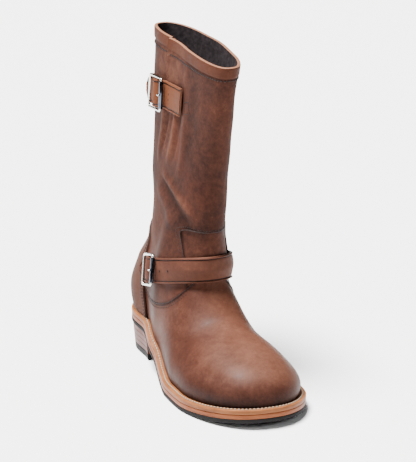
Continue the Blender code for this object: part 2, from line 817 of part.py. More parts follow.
class StrapBed:
    """The last's surface under a strap, addressed by length, share across and lift."""

    def __init__(self, sheet, roller_y, width):
        self.sheet = sheet
        self.width = width
        self.turns = np.linspace(-np.pi, np.pi, 721)
        ring = sheet_ring(self.turns, *sheet)
        self.ring = ring
        self.length = lengths(ring)
        side = (self.turns > 0.1) & (self.turns < 3.0)
        self.length -= np.interp(roller_y, ring[side][:, 1], self.length[side])

    def along_at(self, y, side):
        """Length where the ring passes y, on the outer (1) or inner (-1) side."""
        there = self.turns * side > 0.05
        order = np.argsort(self.ring[there][:, 1])
        return np.interp(y, self.ring[there][:, 1][order], self.length[there][order])

    def row(self, along, across):
        middle, slope, rear, front = self.sheet
        turns = np.interp(along, self.length, self.turns)
        steep = np.hypot(1, slope)
        shift = across * slope / steep
        return sheet_ring(turns, middle + across * steep, slope, rear + shift, front + shift)

    def grid(self, along, share):
        across = np.linspace(-0.5, 0.5, 4)[:, None] * self.width * share
        rows = [self.row(along, w) for w in across]
        return np.array(rows)

    def frame(self):
        """Origin on the last under the roller, and unit axes along, across and out."""
        origin = self.row(np.array([0.0]), np.array([0.0]))[0]
        rear = self.row(np.array([BUCKLE_LENGTH]), np.array([0.0]))[0]
        middle = np.array([BUCKLE_LENGTH / 2])
        above = self.row(middle, np.array([self.width / 2]))[0]
        below = self.row(middle, np.array([-self.width / 2]))[0]
        along = (rear - origin) / np.linalg.norm(rear - origin)
        out = np.cross(above - below, along)
        out /= np.linalg.norm(out)
        return origin, along, np.cross(along, out), out


def make_strap(name, bed, table, start=None, stop=None):
    """A strap along a table, led on to a start or a stop at the table's end lift."""
    along, lift, share = columns(table)
    stations = along
    if start is not None:
        count = int(np.ceil((along[0] - start) / 0.0075))
        stations = np.append(np.linspace(start, along[0], count + 1)[:-1], along)
    if stop is not None:
        count = int(np.ceil((stop - along[-1]) / 0.0075))
        stations = np.append(stations, np.linspace(along[-1], stop, count + 1)[1:])
    lifts = np.interp(stations, along, lift)
    shares = np.interp(stations, along, share)
    grid = bed.grid(stations, shares)
    normal = shell_normals(grid, closed=False).mean(axis=0, keepdims=True)
    normal = normal / np.linalg.norm(normal, axis=2, keepdims=True)
    inner = grid + normal * lifts[None, :, None]
    return slab(name, inner, inner + normal * STRAP_THICKNESS, "strap_leather")


def tube(name, path, radius, sides, look, closed=False):
    """A round bar along points; an open one gets flat ends."""
    path = np.asarray(path)
    if closed:
        ahead = np.roll(path, -1, 0) - np.roll(path, 1, 0)
    else:
        ahead = np.gradient(path, axis=0)
    ahead /= np.linalg.norm(ahead, axis=1, keepdims=True)
    flat = np.linalg.svd(path - path.mean(0))[2][2]
    side = np.cross(ahead, flat)
    side /= np.linalg.norm(side, axis=1, keepdims=True)
    turn = np.arange(sides) * 2 * np.pi / sides
    up = np.cross(side, ahead)
    rings = path[:, None] + radius * (side[:, None] * np.cos(turn)[:, None] + up[:, None] * np.sin(turn)[:, None])
    if closed:
        return hoop(name, list(rings), look)
    faces = [tuple(range(sides)), tuple(range(len(path) * sides - 1, (len(path) - 1) * sides - 1, -1))]
    for i in range(len(path) - 1):
        for j in range(sides):
            k = (j + 1) % sides
            faces.append((i * sides + j, i * sides + k, (i + 1) * sides + k, (i + 1) * sides + j))
    return solid(name, rings.reshape(-1, 3), faces, look)


def pipe(name, start, stop, radius, wall, sides, look):
    """A straight hollow roller."""
    axis = (stop - start) / np.linalg.norm(stop - start)
    side = np.cross(axis, [0.0, 1.0, 0.0])
    side /= np.linalg.norm(side)
    up = np.cross(axis, side)
    turn = np.arange(sides) * 2 * np.pi / sides
    round_ = side * np.cos(turn)[:, None] + up * np.sin(turn)[:, None]
    rings = []
    for centre, r in ((start, radius), (stop, radius), (stop, radius - wall), (start, radius - wall)):
        rings.append(centre + r * round_)
    return hoop(name, rings, look)


def make_buckle(prefix, bed):
    origin, along, across, out = bed.frame()

    def at(s, h, w=0.0):
        return origin + along * s + out * h + across * w

    half = bed.width / 2 + 0.0010 + BAR_RADIUS
    corners = []
    ends = ((0.0, half, 0), (0.0, -half, 1), (BUCKLE_LENGTH, -half, 2), (BUCKLE_LENGTH, half, 3))
    for s, w, quarter in ends:
        towards = 1 if s == 0 else -1
        centre = (s + towards * BUCKLE_CORNER, w - np.sign(w) * BUCKLE_CORNER)
        first = np.pi / 2 + quarter * np.pi / 2
        for i in range(4):
            turn = first + i * np.pi / 6
            corners.append((centre[0] + BUCKLE_CORNER * np.cos(turn), centre[1] + BUCKLE_CORNER * np.sin(turn)))
    rise = (REAR_BAR_HEIGHT - ROLLER_HEIGHT) / BUCKLE_LENGTH
    path = [at(s, ROLLER_HEIGHT + rise * s, w) for s, w in corners]
    buckle = tube(f"{prefix}_buckle", path, BAR_RADIUS, 10, "polished_nickel", closed=True)
    s, h = CENTRE_BAR_AT
    level = ROLLER_HEIGHT + rise * s
    crank = half - 0.002
    bar_path = [at(s, level, -half), at(s, h, -crank), at(s, h, crank), at(s, level, half)]
    bar = tube(f"{prefix}_centre_bar", bar_path, CENTRE_BAR_RADIUS, 8, "polished_nickel")
    cut(buckle, bar, "UNION")
    reach = half - BUCKLE_CORNER - GAP
    pipe(f"{prefix}_roller", at(0, ROLLER_HEIGHT, -reach), at(0, ROLLER_HEIGHT, reach), ROLLER_RADIUS,
         ROLLER_WALL, 14, "polished_nickel")
    prong = [at(s, h) for s, h in PRONG[1:]]
    tube(f"{prefix}_prong", prong, PRONG_RADIUS, 8, "polished_nickel")
    start, stop = PRONG_HOLE
    wide = PRONG_RADIUS + GAP
    points = []
    for h in (0.0, 0.016):
        for s, w in ((start, -wide), (stop, -wide), (stop, wide), (start, wide)):
            points.append(at(s, h, w))
    faces = [(0, 1, 2, 3), (7, 6, 5, 4)]
    faces += [(i, (i + 1) % 4, (i + 1) % 4 + 4, i + 4) for i in range(4)]
    return solid(f"{prefix}_prong_hole", points, faces, "strap_leather")


def make_straps():
    bed = StrapBed(INSTEP_SHEET, INSTEP_ROLLER_Y, INSTEP_STRAP_WIDTH)
    seam = counter_edge(INSTEP_SHEET[0] - INSTEP_STRAP_WIDTH / 2 + 0.006) - 0.003
    strap = make_strap("instep_strap", bed, BILLET, start=bed.along_at(seam, -1))
    make_strap("instep_chape", bed, CHAPE, stop=bed.along_at(seam, 1))
    cut(strap, make_buckle("instep", bed), "DIFFERENCE")
    bed = StrapBed(TOP_SHEET, TOP_ROLLER_Y, TOP_STRAP_WIDTH)
    strap = make_strap("top_strap", bed, BILLET, start=bed.along_at(TOP_STRAP_FRONT, 1))
    make_strap("top_chape", bed, CHAPE, stop=bed.along_at(TOP_CHAPE_BACK, 1))
    cut(strap, make_buckle("top", bed), "DIFFERENCE")


def clear_scene():
    for obj in list(bpy.data.objects):
        bpy.data.objects.remove(obj, do_unlink=True)


def main():
    clear_scene()
    grid = upper_grid()
    make_sole()
    make_heel()
    make_upper(grid)
    make_counter()
    make_band()
    make_gusset()
    make_straps()


main()
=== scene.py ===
"""The engineer boot as it looks: fine surfaces, creases, seams and materials.

Metres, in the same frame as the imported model: +Z up, toe to -Y, outer side to -X.
"""

import math

import bmesh
import bpy
import numpy as np
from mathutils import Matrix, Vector


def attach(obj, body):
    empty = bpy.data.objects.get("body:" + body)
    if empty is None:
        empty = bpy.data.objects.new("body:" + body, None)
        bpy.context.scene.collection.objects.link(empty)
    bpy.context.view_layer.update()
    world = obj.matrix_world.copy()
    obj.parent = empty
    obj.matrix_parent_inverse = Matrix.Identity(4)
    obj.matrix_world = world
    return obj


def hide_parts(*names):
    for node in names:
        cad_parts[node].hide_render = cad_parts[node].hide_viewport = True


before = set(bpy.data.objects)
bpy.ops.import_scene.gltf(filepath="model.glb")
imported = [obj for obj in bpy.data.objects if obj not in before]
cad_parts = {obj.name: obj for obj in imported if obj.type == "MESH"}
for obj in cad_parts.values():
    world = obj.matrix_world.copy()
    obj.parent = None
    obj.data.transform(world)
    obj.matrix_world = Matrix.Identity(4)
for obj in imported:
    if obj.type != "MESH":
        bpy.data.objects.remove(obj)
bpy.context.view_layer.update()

# Length of the foot and where its back end lies
FOOT_LENGTH = 0.283
HEEL_SEAT_BACK = 0.034
# Widths and heights of the last
BALL_WIDTH = 0.11
HEEL_WIDTH = 0.0745
TOE_HEIGHT = 0.0435
BALL_HEIGHT = 0.058
INSTEP_HEIGHT = 0.1065
FOREFOOT_SWING = 0.0129
# Sole
HEEL_HEIGHT = 0.0275
TOE_SPRING = 0.0065
OUTSOLE_THICKNESS = 0.0040
MIDSOLE_THICKNESS = 0.0045
WELT_THICKNESS = 0.0045
WELT_MARGIN_TOE = 0.0068
WELT_MARGIN_HEEL = 0.0056
HEEL_BREAST = 0.075
TOP_LIFT_THICKNESS = 0.0065
HEEL_LIFTS = 4
# Shaft
BOOT_HEIGHT = 0.3285
COLLAR_LENGTH = 0.170
COLLAR_WIDTH = 0.037
COLLAR_BACK = 0.039
ANKLE_LENGTH = 0.136
ANKLE_WIDTH = 0.057
ANKLE_BACK = 0.026
ANKLE_HEIGHT = 0.1187
HEEL_CURVE_HEIGHT = 0.064
HEEL_CURVE_BACK = 0.0425
# The strapped collar lies over to the inner side, and its back corner turns outwards
COLLAR_SHIFT = 0.016
COLLAR_TURN = 0.013
THROAT_RADIUS = 0.047
# Leather
WALL = 0.0024
SHAFT_STEP = 0.0010
COUNTER_THICKNESS = 0.0016
BAND_HEIGHT = 0.011
BAND_THICKNESS = 0.0012
GUSSET_THICKNESS = 0.0012
# Straps and buckles
INSTEP_STRAP_WIDTH = 0.0254
TOP_STRAP_WIDTH = 0.0280
TOP_STRAP_DROP = 0.0595
STRAP_THICKNESS = 0.0024
BAR_RADIUS = 0.0013
ROLLER_RADIUS = 0.0022
PRONG_RADIUS = 0.0009
BUCKLE_LENGTH = 0.028
# Slit in the outer side of the collar
SLIT_Y = -0.015
SLIT_FOOT_Y = -0.0275
SLIT_DEPTH = 0.075
GUSSET_BELOW_SLIT = 0.0075
# Clearance between touching pieces
GAP = 0.0003

COLUMNS = 100

SOLE_THICKNESS = OUTSOLE_THICKNESS + MIDSOLE_THICKNESS + WELT_THICKNESS + 2 * GAP
HEEL_WELT_TOP = HEEL_HEIGHT + SOLE_THICKNESS
UPPER_BASE = HEEL_WELT_TOP + GAP


# Lengths tried along a ray before its end is halved in: level rays, and rays of any direction
LEVEL_STEPS = np.linspace(0.005, 0.17, 34)
RAY_STEPS = np.linspace(0.002, 0.16, 60)


def smooth(t):
    t = np.clip(t, 0, 1)
    return t * t * (3 - 2 * t)


def end_slope(h0, h1, d0, d1):
    slope = ((2 * h0 + h1) * d0 - h0 * d1) / (h0 + h1)
    if slope * d0 <= 0:
        return 0.0
    if d0 * d1 <= 0 and abs(slope) > 3 * abs(d0):
        return 3 * d0
    return slope


def curve(t, knots, values):
    """Cubic through the knots that never overshoots between two of them."""
    knots = np.asarray(knots, float)
    values = np.asarray(values, float)
    h = np.diff(knots)
    d = np.diff(values) / h
    m = np.zeros(len(knots))
    for i in range(1, len(knots) - 1):
        if d[i - 1] * d[i] > 0:
            a = 2 * h[i] + h[i - 1]
            b = h[i] + 2 * h[i - 1]
            m[i] = (a + b) / (a / d[i - 1] + b / d[i])
    m[0] = end_slope(h[0], h[1], d[0], d[1])
    m[-1] = end_slope(h[-1], h[-2], d[-1], d[-2])
    t = np.clip(t, knots[0], knots[-1])
    i = np.clip(np.searchsorted(knots, t, side="right") - 1, 0, len(knots) - 2)
    q = (t - knots[i]) / h[i]
    rise = (1 + 2 * q) * (1 - q) ** 2 * values[i] + q * q * (3 - 2 * q) * values[i + 1]
    return rise + h[i] * (q * (1 - q) ** 2 * m[i] + q * q * (q - 1) * m[i + 1])


def columns(table):
    """The columns of a table of rows, without its first row of names."""
    return [np.array(column, float) for column in zip(*table[1:])]


# Half widths of the foot as shares of BALL_WIDTH, from the heel (0) to the toe (1)
FOOT_PLAN = [
    ("share", "outer", "inner", "roundness"),
    (0.00, 0.335, 0.335, 2.20),
    (0.12, 0.340, 0.335, 2.15),
    (0.26, 0.350, 0.310, 2.05),
    (0.40, 0.395, 0.300, 1.97),
    (0.52, 0.460, 0.350, 1.95),
    (0.63, 0.520, 0.430, 2.00),
    (0.73, 0.530, 0.470, 2.13),
    (0.85, 0.495, 0.465, 2.30),
    (0.93, 0.455, 0.435, 2.36),
    (1.00, 0.410, 0.400, 2.40),
]

# Height of the foot over the welt, as shares of three heights of the last
FOOT_RIDGE = [
    ("share", "of instep", "of ball", "of toe"),
    (0.00, 0.80, 0.00, 0.00),
    (0.25, 1.05, 0.00, 0.00),
    (0.38, 1.02, 0.00, 0.00),
    (0.50, 0.86, 0.00, 0.00),
    (0.62, 0.00, 1.02, 0.00),
    (0.72, 0.00, 0.90, 0.00),
    (0.86, 0.00, 0.00, 1.04),
    (1.00, 0.00, 0.00, 0.98),
]

# Levels that the grid of the upper follows, from the welt (0) to the band's edge (1).
# lift is a share of the leg, tilt the rise to the front, level 1 where the foot's own
# curve has faded out, and the last two are shares of FOOT_LENGTH from the heel.
LEVELS = [
    ("v", "lift", "tilt", "level", "front centre", "back centre"),
    (0.00, 0.000, 0.000, 0.0, 0.80, 0.115),
    (0.06, 0.014, 0.030, 0.0, 0.80, 0.115),
    (0.13, 0.028, 0.075, 0.0, 0.76, 0.115),
    (0.20, 0.042, 0.140, 0.0, 0.67, 0.115),
    (0.28, 0.060, 0.215, 0.1, 0.54, 0.120),
    (0.36, 0.082, 0.320, 0.3, 0.45, 0.125),
    (0.44, 0.115, 0.470, 0.6, 0.40, 0.135),
    (0.52, 0.165, 0.650, 0.8, 0.36, 0.150),
    (0.60, 0.240, 0.740, 1.0, 0.35, 0.17),
    (0.70, 0.380, 0.640, 1.0, 0.36, 0.18),
    (0.80, 0.560, 0.440, 1.0, 0.40, 0.18),
    (0.90, 0.770, 0.220, 1.0, 0.42, 0.17),
    (1.00, 1.000, 0.000, 1.0, 0.44, 0.16),
]


def foot_share(y):
    return (HEEL_SEAT_BACK - y) / FOOT_LENGTH


def sole_bottom(y):
    """Height of the outsole's underside: heel, arch, flat tread and toe spring."""
    s = foot_share(y)
    arch = HEEL_HEIGHT * (1 - smooth((s - 0.21) / 0.36))
    spring = TOE_SPRING * np.clip((s - 0.72) / 0.28, 0, 1.15) ** 1.8
    return arch + spring


def welt_top(y):
    return sole_bottom(y) + SOLE_THICKNESS


def foot_middle(y):
    return FOREFOOT_SWING * smooth((foot_share(y) - 0.15) / 0.85)


def foot_form(x, y, z):
    """Signed distance, roughly, to the foot part of the last."""
    s = foot_share(y)
    share, outer, inner, roundness = columns(FOOT_PLAN)
    ridge, of_instep, of_ball, of_toe = columns(FOOT_RIDGE)
    x = x - foot_middle(y)
    side = np.where(x < 0, curve(s, share, outer), curve(s, share, inner)) * BALL_WIDTH
    heights = of_instep * INSTEP_HEIGHT + of_ball * BALL_HEIGHT + of_toe * TOE_HEIGHT
    height = curve(s, ridge, heights)
    up = np.maximum(z - welt_top(y), 0)
    bulge = 1 + 0.05 * np.sin(np.pi * np.clip(up / (0.6 * height), 0, 1))
    power = curve(s, share, roundness)
    toe_cap = np.clip((s - 0.74) / 0.26, 0, None)
    heel_cap = np.clip((0.34 - s) / 0.31, 0, None)
    q = (np.abs(x) / (side * bulge)) ** power + (up / height) ** power
    q = (q + toe_cap ** (power + 0.1) + heel_cap**power) ** (1 / power)
    q = np.maximum(q, 1e-6)
    along = (toe_cap * 0.26 + heel_cap * 0.31) * FOOT_LENGTH
    return np.sqrt(x**2 + up**2 + along**2) * (1 - 1 / q)


def leg_rows():
    """The leg's sections: each has a back, front and half width, a middle that is shifted
    to the inner side, a back end that turns outwards, and a roundness."""
    low = HEEL_WELT_TOP
    mid = (HEEL_CURVE_HEIGHT + ANKLE_HEIGHT) / 2
    bend = ANKLE_HEIGHT + 0.35 * (BOOT_HEIGHT - ANKLE_HEIGHT)
    collar_front = COLLAR_BACK - COLLAR_LENGTH
    ankle_front = ANKLE_BACK - ANKLE_LENGTH
    heel_half = HEEL_WIDTH / 2
    ankle_half = ANKLE_WIDTH / 2
    collar_half = COLLAR_WIDTH / 2
    return [
        ("height", "back", "front", "half width", "shift", "turn", "roundness"),
        (low, HEEL_SEAT_BACK, -0.050, heel_half, 0, 0, 2.1),
        (HEEL_CURVE_HEIGHT, HEEL_CURVE_BACK, -0.052, heel_half + 0.002, 0, 0, 2.1),
        (mid, 0.55 * HEEL_CURVE_BACK + 0.45 * ANKLE_BACK, -0.060,
         (heel_half + ankle_half) / 2 + 0.001, 0, 0, 2.1),
        (ANKLE_HEIGHT, ANKLE_BACK, ankle_front, ankle_half, 0.09 * COLLAR_SHIFT, 0, 2.1),
        (bend, ANKLE_BACK + 0.54 * (COLLAR_BACK - ANKLE_BACK),
         ankle_front + 0.28 * (collar_front - ankle_front),
         ankle_half + 0.43 * (collar_half - ankle_half),
         0.34 * COLLAR_SHIFT, 0.22 * COLLAR_TURN, 2.3),
        (BOOT_HEIGHT, COLLAR_BACK, collar_front, collar_half, COLLAR_SHIFT, COLLAR_TURN, 2.7),
    ]


def shaft_middle(z):
    """The middle of the leg from side to side."""
    height, _, _, _, shift, _, _ = columns(leg_rows())
    return curve(z, height, shift)


def leg_form(x, y, z):
    """Signed distance, roughly, to the leg part of the last: oval sections."""
    height, back, front, half, shift, turn, roundness = columns(leg_rows())
    z = np.clip(z, height[0], height[-1])
    rear = curve(z, height, back)
    fore = curve(z, height, front)
    wide = curve(z, height, half)
    power = curve(z, height, roundness)
    y = y - (rear + fore) / 2
    end = np.clip(y / ((rear - fore) / 2), 0, 1.2)
    x = x - curve(z, height, shift) + curve(z, height, turn) * end**1.5
    q = (np.abs(x) / wide) ** power + (np.abs(y) / ((rear - fore) / 2)) ** power
    q = np.maximum(q ** (1 / power), 1e-6)
    return np.sqrt(x**2 + y**2) * (1 - 1 / q)


def last_form(x, y, z):
    """Foot and leg joined with a soft throat in front and a tight one behind."""
    foot = foot_form(x, y, z)
    leg = leg_form(x, y, z)
    k = 0.008 + (THROAT_RADIUS - 0.008) * smooth((-0.03 - y) / 0.04)
    h = np.clip(0.5 + 0.5 * (leg - foot) / k, 0, 1)
    return leg * (1 - h) + foot * h - k * h * (1 - h)


def leaving(at, shape, steps):
    """The length along each ray where it first leaves the last, and at gives its points."""
    low = np.zeros(shape)
    high = np.full(shape, steps[-1])
    found = np.zeros(shape, bool)
    before = 0.0
    for step in steps:
        new = (last_form(*at(np.full(shape, step))) > 0) & ~found
        high = np.where(new, step, high)
        low = np.where(new, before, low)
        found |= new
        before = step
    for _ in range(16):
        middle = (low + high) / 2
        inside = last_form(*at(middle)) < 0
        low = np.where(inside, middle, low)
        high = np.where(inside, high, middle)
    return (low + high) / 2


def cast(x0, y0, dx, dy, height_at):
    """Points where rays from (x0, y0), kept at the height given for their y, leave the last."""

    def at(r):
        y = y0 + r * dy
        return x0 + r * dx, y, height_at(y)

    shape = np.broadcast(x0, y0, dx, dy, height_at(np.asarray(y0, float))).shape
    return np.stack(np.broadcast_arrays(*at(leaving(at, shape, LEVEL_STEPS))), -1)


def upper_surface(u, v):
    """Outer face of the upper: u goes round from the toe by the outer side, v up."""
    u, v = np.broadcast_arrays(np.asarray(u, float), np.asarray(v, float))
    knots, lift, tilt, level, fore, rear = columns(LEVELS)
    leg = BOOT_HEIGHT - BAND_HEIGHT - UPPER_BASE
    up = curve(v, knots, lift) * leg + np.clip((v - 1) / 0.05, 0, 1) * BAND_HEIGHT
    rise = curve(v, knots, tilt)
    flat = curve(v, knots, level)
    turn = 2 * np.pi * u
    fore = curve(v, knots, fore)
    rear = curve(v, knots, rear)
    share = rear + (fore - rear) * (1 + np.cos(turn)) / 2
    y0 = HEEL_SEAT_BACK - FOOT_LENGTH * share

    def height_at(y):
        base = (1 - flat) * (welt_top(y) + GAP) + flat * UPPER_BASE
        return base + up + rise * (HEEL_SEAT_BACK - y)

    x0 = foot_middle(y0) * (1 - flat) + shaft_middle(height_at(y0)) * flat
    return cast(x0, y0, -np.sin(turn), -np.cos(turn), height_at)


def shell_normals(grid, closed=True):
    """Unit normals of a grid of rows (up) by columns (round), pointing out."""
    up = np.gradient(grid, axis=0)
    if closed:
        along = np.roll(grid, -1, 1) - np.roll(grid, 1, 1)
    else:
        along = np.gradient(grid, axis=1)
    normal = np.cross(up, along)
    return normal / np.linalg.norm(normal, axis=2, keepdims=True)


def level_normals(grid, closed=True):
    """Normals of shell_normals laid level, for a row that lies on a flat seat."""
    normal = shell_normals(grid, closed).copy()
    normal[..., 2] = 0
    return normal / np.linalg.norm(normal, axis=2, keepdims=True)


def feather_line():
    """Where the upper meets the welt, seen from above."""
    turns = np.arange(4 * COLUMNS) / (4 * COLUMNS)
    return upper_surface(turns, np.zeros_like(turns))


def margin_line(extra=0.0):
    """The feather line moved out by the welt's margin, and by extra."""
    ring = feather_line()
    along = np.roll(ring, -1, 0) - np.roll(ring, 1, 0)
    out = np.stack([-along[:, 1], along[:, 0]], -1)
    out /= np.linalg.norm(out, axis=1, keepdims=True)
    if ((ring[:, :2] - ring[:, :2].mean(0)) * out).sum() < 0:
        out = -out
    wide = smooth((foot_share(ring[:, 1]) - 0.3) / 0.35)
    margin = WELT_MARGIN_HEEL + (WELT_MARGIN_TOE - WELT_MARGIN_HEEL) * wide + extra
    return ring[:, :2] + out * margin[:, None]


def side_lines(line, front, count):
    """Stations along a closed line behind front, closer at its round end: y and the two x."""
    toe = int(np.argmin(line[:, 1]))
    line = np.roll(line, -toe, axis=0)
    heel = int(np.argmax(line[:, 1]))
    halves = [line[: heel + 1], np.concatenate([line[heel:], line[:1]])]
    halves = [half[np.argsort(half[:, 1])] for half in halves]
    high = line[:, 1].max() - 2e-4
    reach = np.linspace(0, 1, count)
    y = front + (high - front) * np.sin(reach * np.pi / 2)
    sides = [np.interp(y, half[:, 1], half[:, 0]) for half in halves]
    return y, np.minimum(*sides), np.maximum(*sides)


# The shaft leather's lower edge over the vamp, seen from the side, as shares: y of
# FOOT_LENGTH from the heel, z of ANKLE_HEIGHT from the welt's top at the heel
SHAFT_EDGE = [
    ("share", "height"),
    (0.205, 0.36),
    (0.28, 0.33),
    (0.36, 0.34),
    (0.42, 0.38),
    (0.465, 0.45),
    (0.495, 0.56),
    (0.51, 0.75),
]
WINDOW_HALF_WIDTH = 0.0235
WINDOW_TOP = 0.155
WINDOW_CORNER = 0.008
WINDOW_MIDDLE = 0.003


def sheet_ring(turns, middle, slope, rear, front):
    """The last cut by a sheet, middle high at y = 0, that rises by slope to the front.

    A turn of 0 faces the toe, and turns go round by the outer side. The rays start
    between rear and front."""
    y0 = rear + (front - rear) * (1 + np.cos(turns)) / 2
    x0 = shaft_middle(middle) + 0 * y0

    def height_at(y):
        return middle - slope * y

    return cast(x0, y0, -np.sin(turns), -np.cos(turns), height_at)


def lengths(points):
    return np.append(0, np.cumsum(np.linalg.norm(np.diff(points, axis=0), axis=1)))


def evenly(turns, count, *sheet):
    """Turns between the first and last given, at even lengths along the sheet's ring."""
    dense = np.linspace(turns[0], turns[-1], 181)
    length = lengths(sheet_ring(dense, *sheet))
    return np.interp(np.linspace(0, length[-1], count), length, dense)


# The counter's front edge, the same on both sides, over its height
COUNTER_EDGE = [
    ("height share", "y"),
    (0.00, -0.0325),
    (0.12, -0.0310),
    (0.25, -0.0275),
    (0.39, -0.0240),
    (0.64, -0.0155),
    (0.82, -0.0060),
    (1.00, 0.0080),
]
COUNTER_TOP = 0.130


def counter_edge(z):
    share, edge = columns(COUNTER_EDGE)
    return curve((z - UPPER_BASE) / (COUNTER_TOP - UPPER_BASE), share, edge)


def patch(heights, edges, count, rear, front):
    """Points on the last on level sheets, round the back from edge to edge of each."""
    rows = []
    for z, edge in zip(heights, edges):
        sheet = (z, 0.0, rear, front)
        turns = np.linspace(0.35 * np.pi, np.pi, 241)
        outer = sheet_ring(turns, *sheet)
        inner = sheet_ring(-turns, *sheet)
        start = np.interp(edge, outer[:, 1], turns)
        stop = 2 * np.pi - np.interp(edge, inner[:, 1], turns)
        rows.append(sheet_ring(evenly((start, stop), count, *sheet), *sheet))
    return np.array(rows)


# The soft piece behind the slit: from and to this y, and up from this height
GUSSET_SPAN = (-0.045, 0.002)
GUSSET_LOW = BOOT_HEIGHT - SLIT_DEPTH - GUSSET_BELOW_SLIT


# Straps. Lengths along a strap are in metres from the roller, to the back.
# A strap's lift is the distance of its inner face from the last.
STRAP_LIFT = SHAFT_STEP + GAP + 0.0004
BILLET = [
    ("along", "lift", "width share"),
    (-0.014, STRAP_LIFT + 0.0008, 1.0),
    (-0.004, STRAP_LIFT, 1.0),
    (0.0030, STRAP_LIFT, 1.0),
    (0.0054, 0.0034, 1.0),
    (0.008, 0.0062, 1.0),
    (0.011, 0.0078, 1.0),
    (0.014, 0.0082, 1.0),
    (0.018, 0.0072, 1.0),
    (0.022, 0.0054, 1.0),
    (0.025, 0.0047, 1.0),
    (0.030, 0.0047, 1.0),
    (0.034, 0.0052, 0.98),
    (0.038, 0.0060, 0.80),
    (0.043, 0.0072, 0.16),
]
CHAPE = [
    ("along", "lift", "width share"),
    (0.0158, 0.0046, 0.96),
    (0.0185, 0.0036, 0.96),
    (0.022, 0.0021, 0.96),
    (0.025, STRAP_LIFT, 0.96),
]
PRONG = [
    ("along", "height"),
    (-0.0020, 0.0104),
    (0.0000, 0.0110),
    (0.0030, 0.0098),
    (0.0060, 0.0071),
    (0.0090, 0.0060),
    (0.0122, 0.0058),
]
ROLLER_HEIGHT = 0.0076
REAR_BAR_HEIGHT = 0.0095
CENTRE_BAR_AT = (0.0140, 0.0060)
CENTRE_BAR_RADIUS = 0.0011
ROLLER_WALL = 0.0005
BUCKLE_CORNER = 0.0020

# Sheet under each strap: height at y = 0, rise to the front, and its rays' origins
INSTEP_SHEET = (0.0847, 0.295, -0.004, -0.070)
TOP_SHEET = (BOOT_HEIGHT - TOP_STRAP_DROP, 0.10, -0.012, -0.090)
INSTEP_ROLLER_Y = -0.066
TOP_ROLLER_Y = -0.019
TOP_STRAP_FRONT = -0.0625
TOP_CHAPE_BACK = 0.027


class StrapBed:
    """The last's surface under a strap, addressed by length, share across and lift."""

    def __init__(self, sheet, roller_y, width):
        self.sheet = sheet
        self.width = width
        self.turns = np.linspace(-np.pi, np.pi, 721)
        ring = sheet_ring(self.turns, *sheet)
        self.ring = ring
        self.length = lengths(ring)
        side = (self.turns > 0.1) & (self.turns < 3.0)
        self.length -= np.interp(roller_y, ring[side][:, 1], self.length[side])

    def along_at(self, y, side):
        """Length where the ring passes y, on the outer (1) or inner (-1) side."""
        there = self.turns * side > 0.05
        order = np.argsort(self.ring[there][:, 1])
        return np.interp(y, self.ring[there][:, 1][order], self.length[there][order])

    def row(self, along, across):
        middle, slope, rear, front = self.sheet
        turns = np.interp(along, self.length, self.turns)
        steep = np.hypot(1, slope)
        shift = across * slope / steep
        return sheet_ring(turns, middle + across * steep, slope, rear + shift, front + shift)

    def frame(self):
        """Origin on the last under the roller, and unit axes along, across and out."""
        origin = self.row(np.array([0.0]), np.array([0.0]))[0]
        rear = self.row(np.array([BUCKLE_LENGTH]), np.array([0.0]))[0]
        middle = np.array([BUCKLE_LENGTH / 2])
        above = self.row(middle, np.array([self.width / 2]))[0]
        below = self.row(middle, np.array([-self.width / 2]))[0]
        along = (rear - origin) / np.linalg.norm(rear - origin)
        out = np.cross(above - below, along)
        out /= np.linalg.norm(out)
        return origin, along, np.cross(along, out), out


def hit(origin, direction):
    """Points where rays from inside the last leave it."""
    origin = np.asarray(origin, float)

    def at(r):
        return np.moveaxis(origin + direction * r[..., None], -1, 0)

    return np.moveaxis(at(leaving(at, origin.shape[:-1], RAY_STEPS)), 0, -1)


def out_at(points):
    """Unit normals of the last at points on it."""
    step = 0.0008
    axes = []
    for i in range(3):
        d = np.zeros(3)
        d[i] = step
        ahead = last_form(*np.moveaxis(points + d, -1, 0))
        axes.append(ahead - last_form(*np.moveaxis(points - d, -1, 0)))
    normal = np.stack(axes, -1)
    return normal / np.maximum(np.linalg.norm(normal, axis=-1, keepdims=True), 1e-12)


def side_points(yz, side):
    """Points on the outer (-1) or inner (1) side of the last at given y and z."""
    yz = np.asarray(yz, float)
    x0 = shaft_middle(yz[:, 1])
    origin = np.column_stack([x0, yz])
    return hit(origin, np.array([side, 0.0, 0.0]))


def front_points(xz):
    xz = np.asarray(xz, float)
    origin = np.column_stack([xz[:, 0], np.full(len(xz), -0.05), xz[:, 1]])
    return hit(origin, np.array([0.0, -1.0, 0.0]))


def evened(points, step):
    """The same line with its points at even steps."""
    points = np.asarray(points, float)
    length = lengths(points)
    count = max(2, int(round(length[-1] / step)) + 1)
    at = np.linspace(0, length[-1], count)
    return np.column_stack([np.interp(at, length, points[:, i]) for i in range(points.shape[1])])


def curved(points, step=0.002):
    """A smooth line through flat points."""
    points = np.asarray(points, float)
    length = lengths(points)
    at = np.linspace(0, length[-1], max(3, int(length[-1] / step)))
    return np.column_stack([curve(at, length, points[:, i]) for i in range(points.shape[1])])


def offset_line(points, distance):
    """A flat line moved to its left by a distance."""
    points = np.asarray(points, float)
    along = np.gradient(points, axis=0)
    along /= np.linalg.norm(along, axis=1, keepdims=True)
    return points + distance * np.column_stack([-along[:, 1], along[:, 0]])


def distance_to(points, line, chunk=20000):
    """Distance of each point to a line of short segments."""
    a = line[:-1]
    d = line[1:] - a
    square = np.maximum((d * d).sum(1), 1e-12)
    flat = points.reshape(-1, 3)
    found = np.empty(len(flat))
    for i in range(0, len(flat), chunk):
        p = flat[i : i + chunk, None, :] - a[None]
        t = np.clip((p * d).sum(2) / square, 0, 1)
        found[i : i + chunk] = np.sqrt(((p - t[..., None] * d) ** 2).sum(2).min(1))
    return found.reshape(points.shape[:-1])


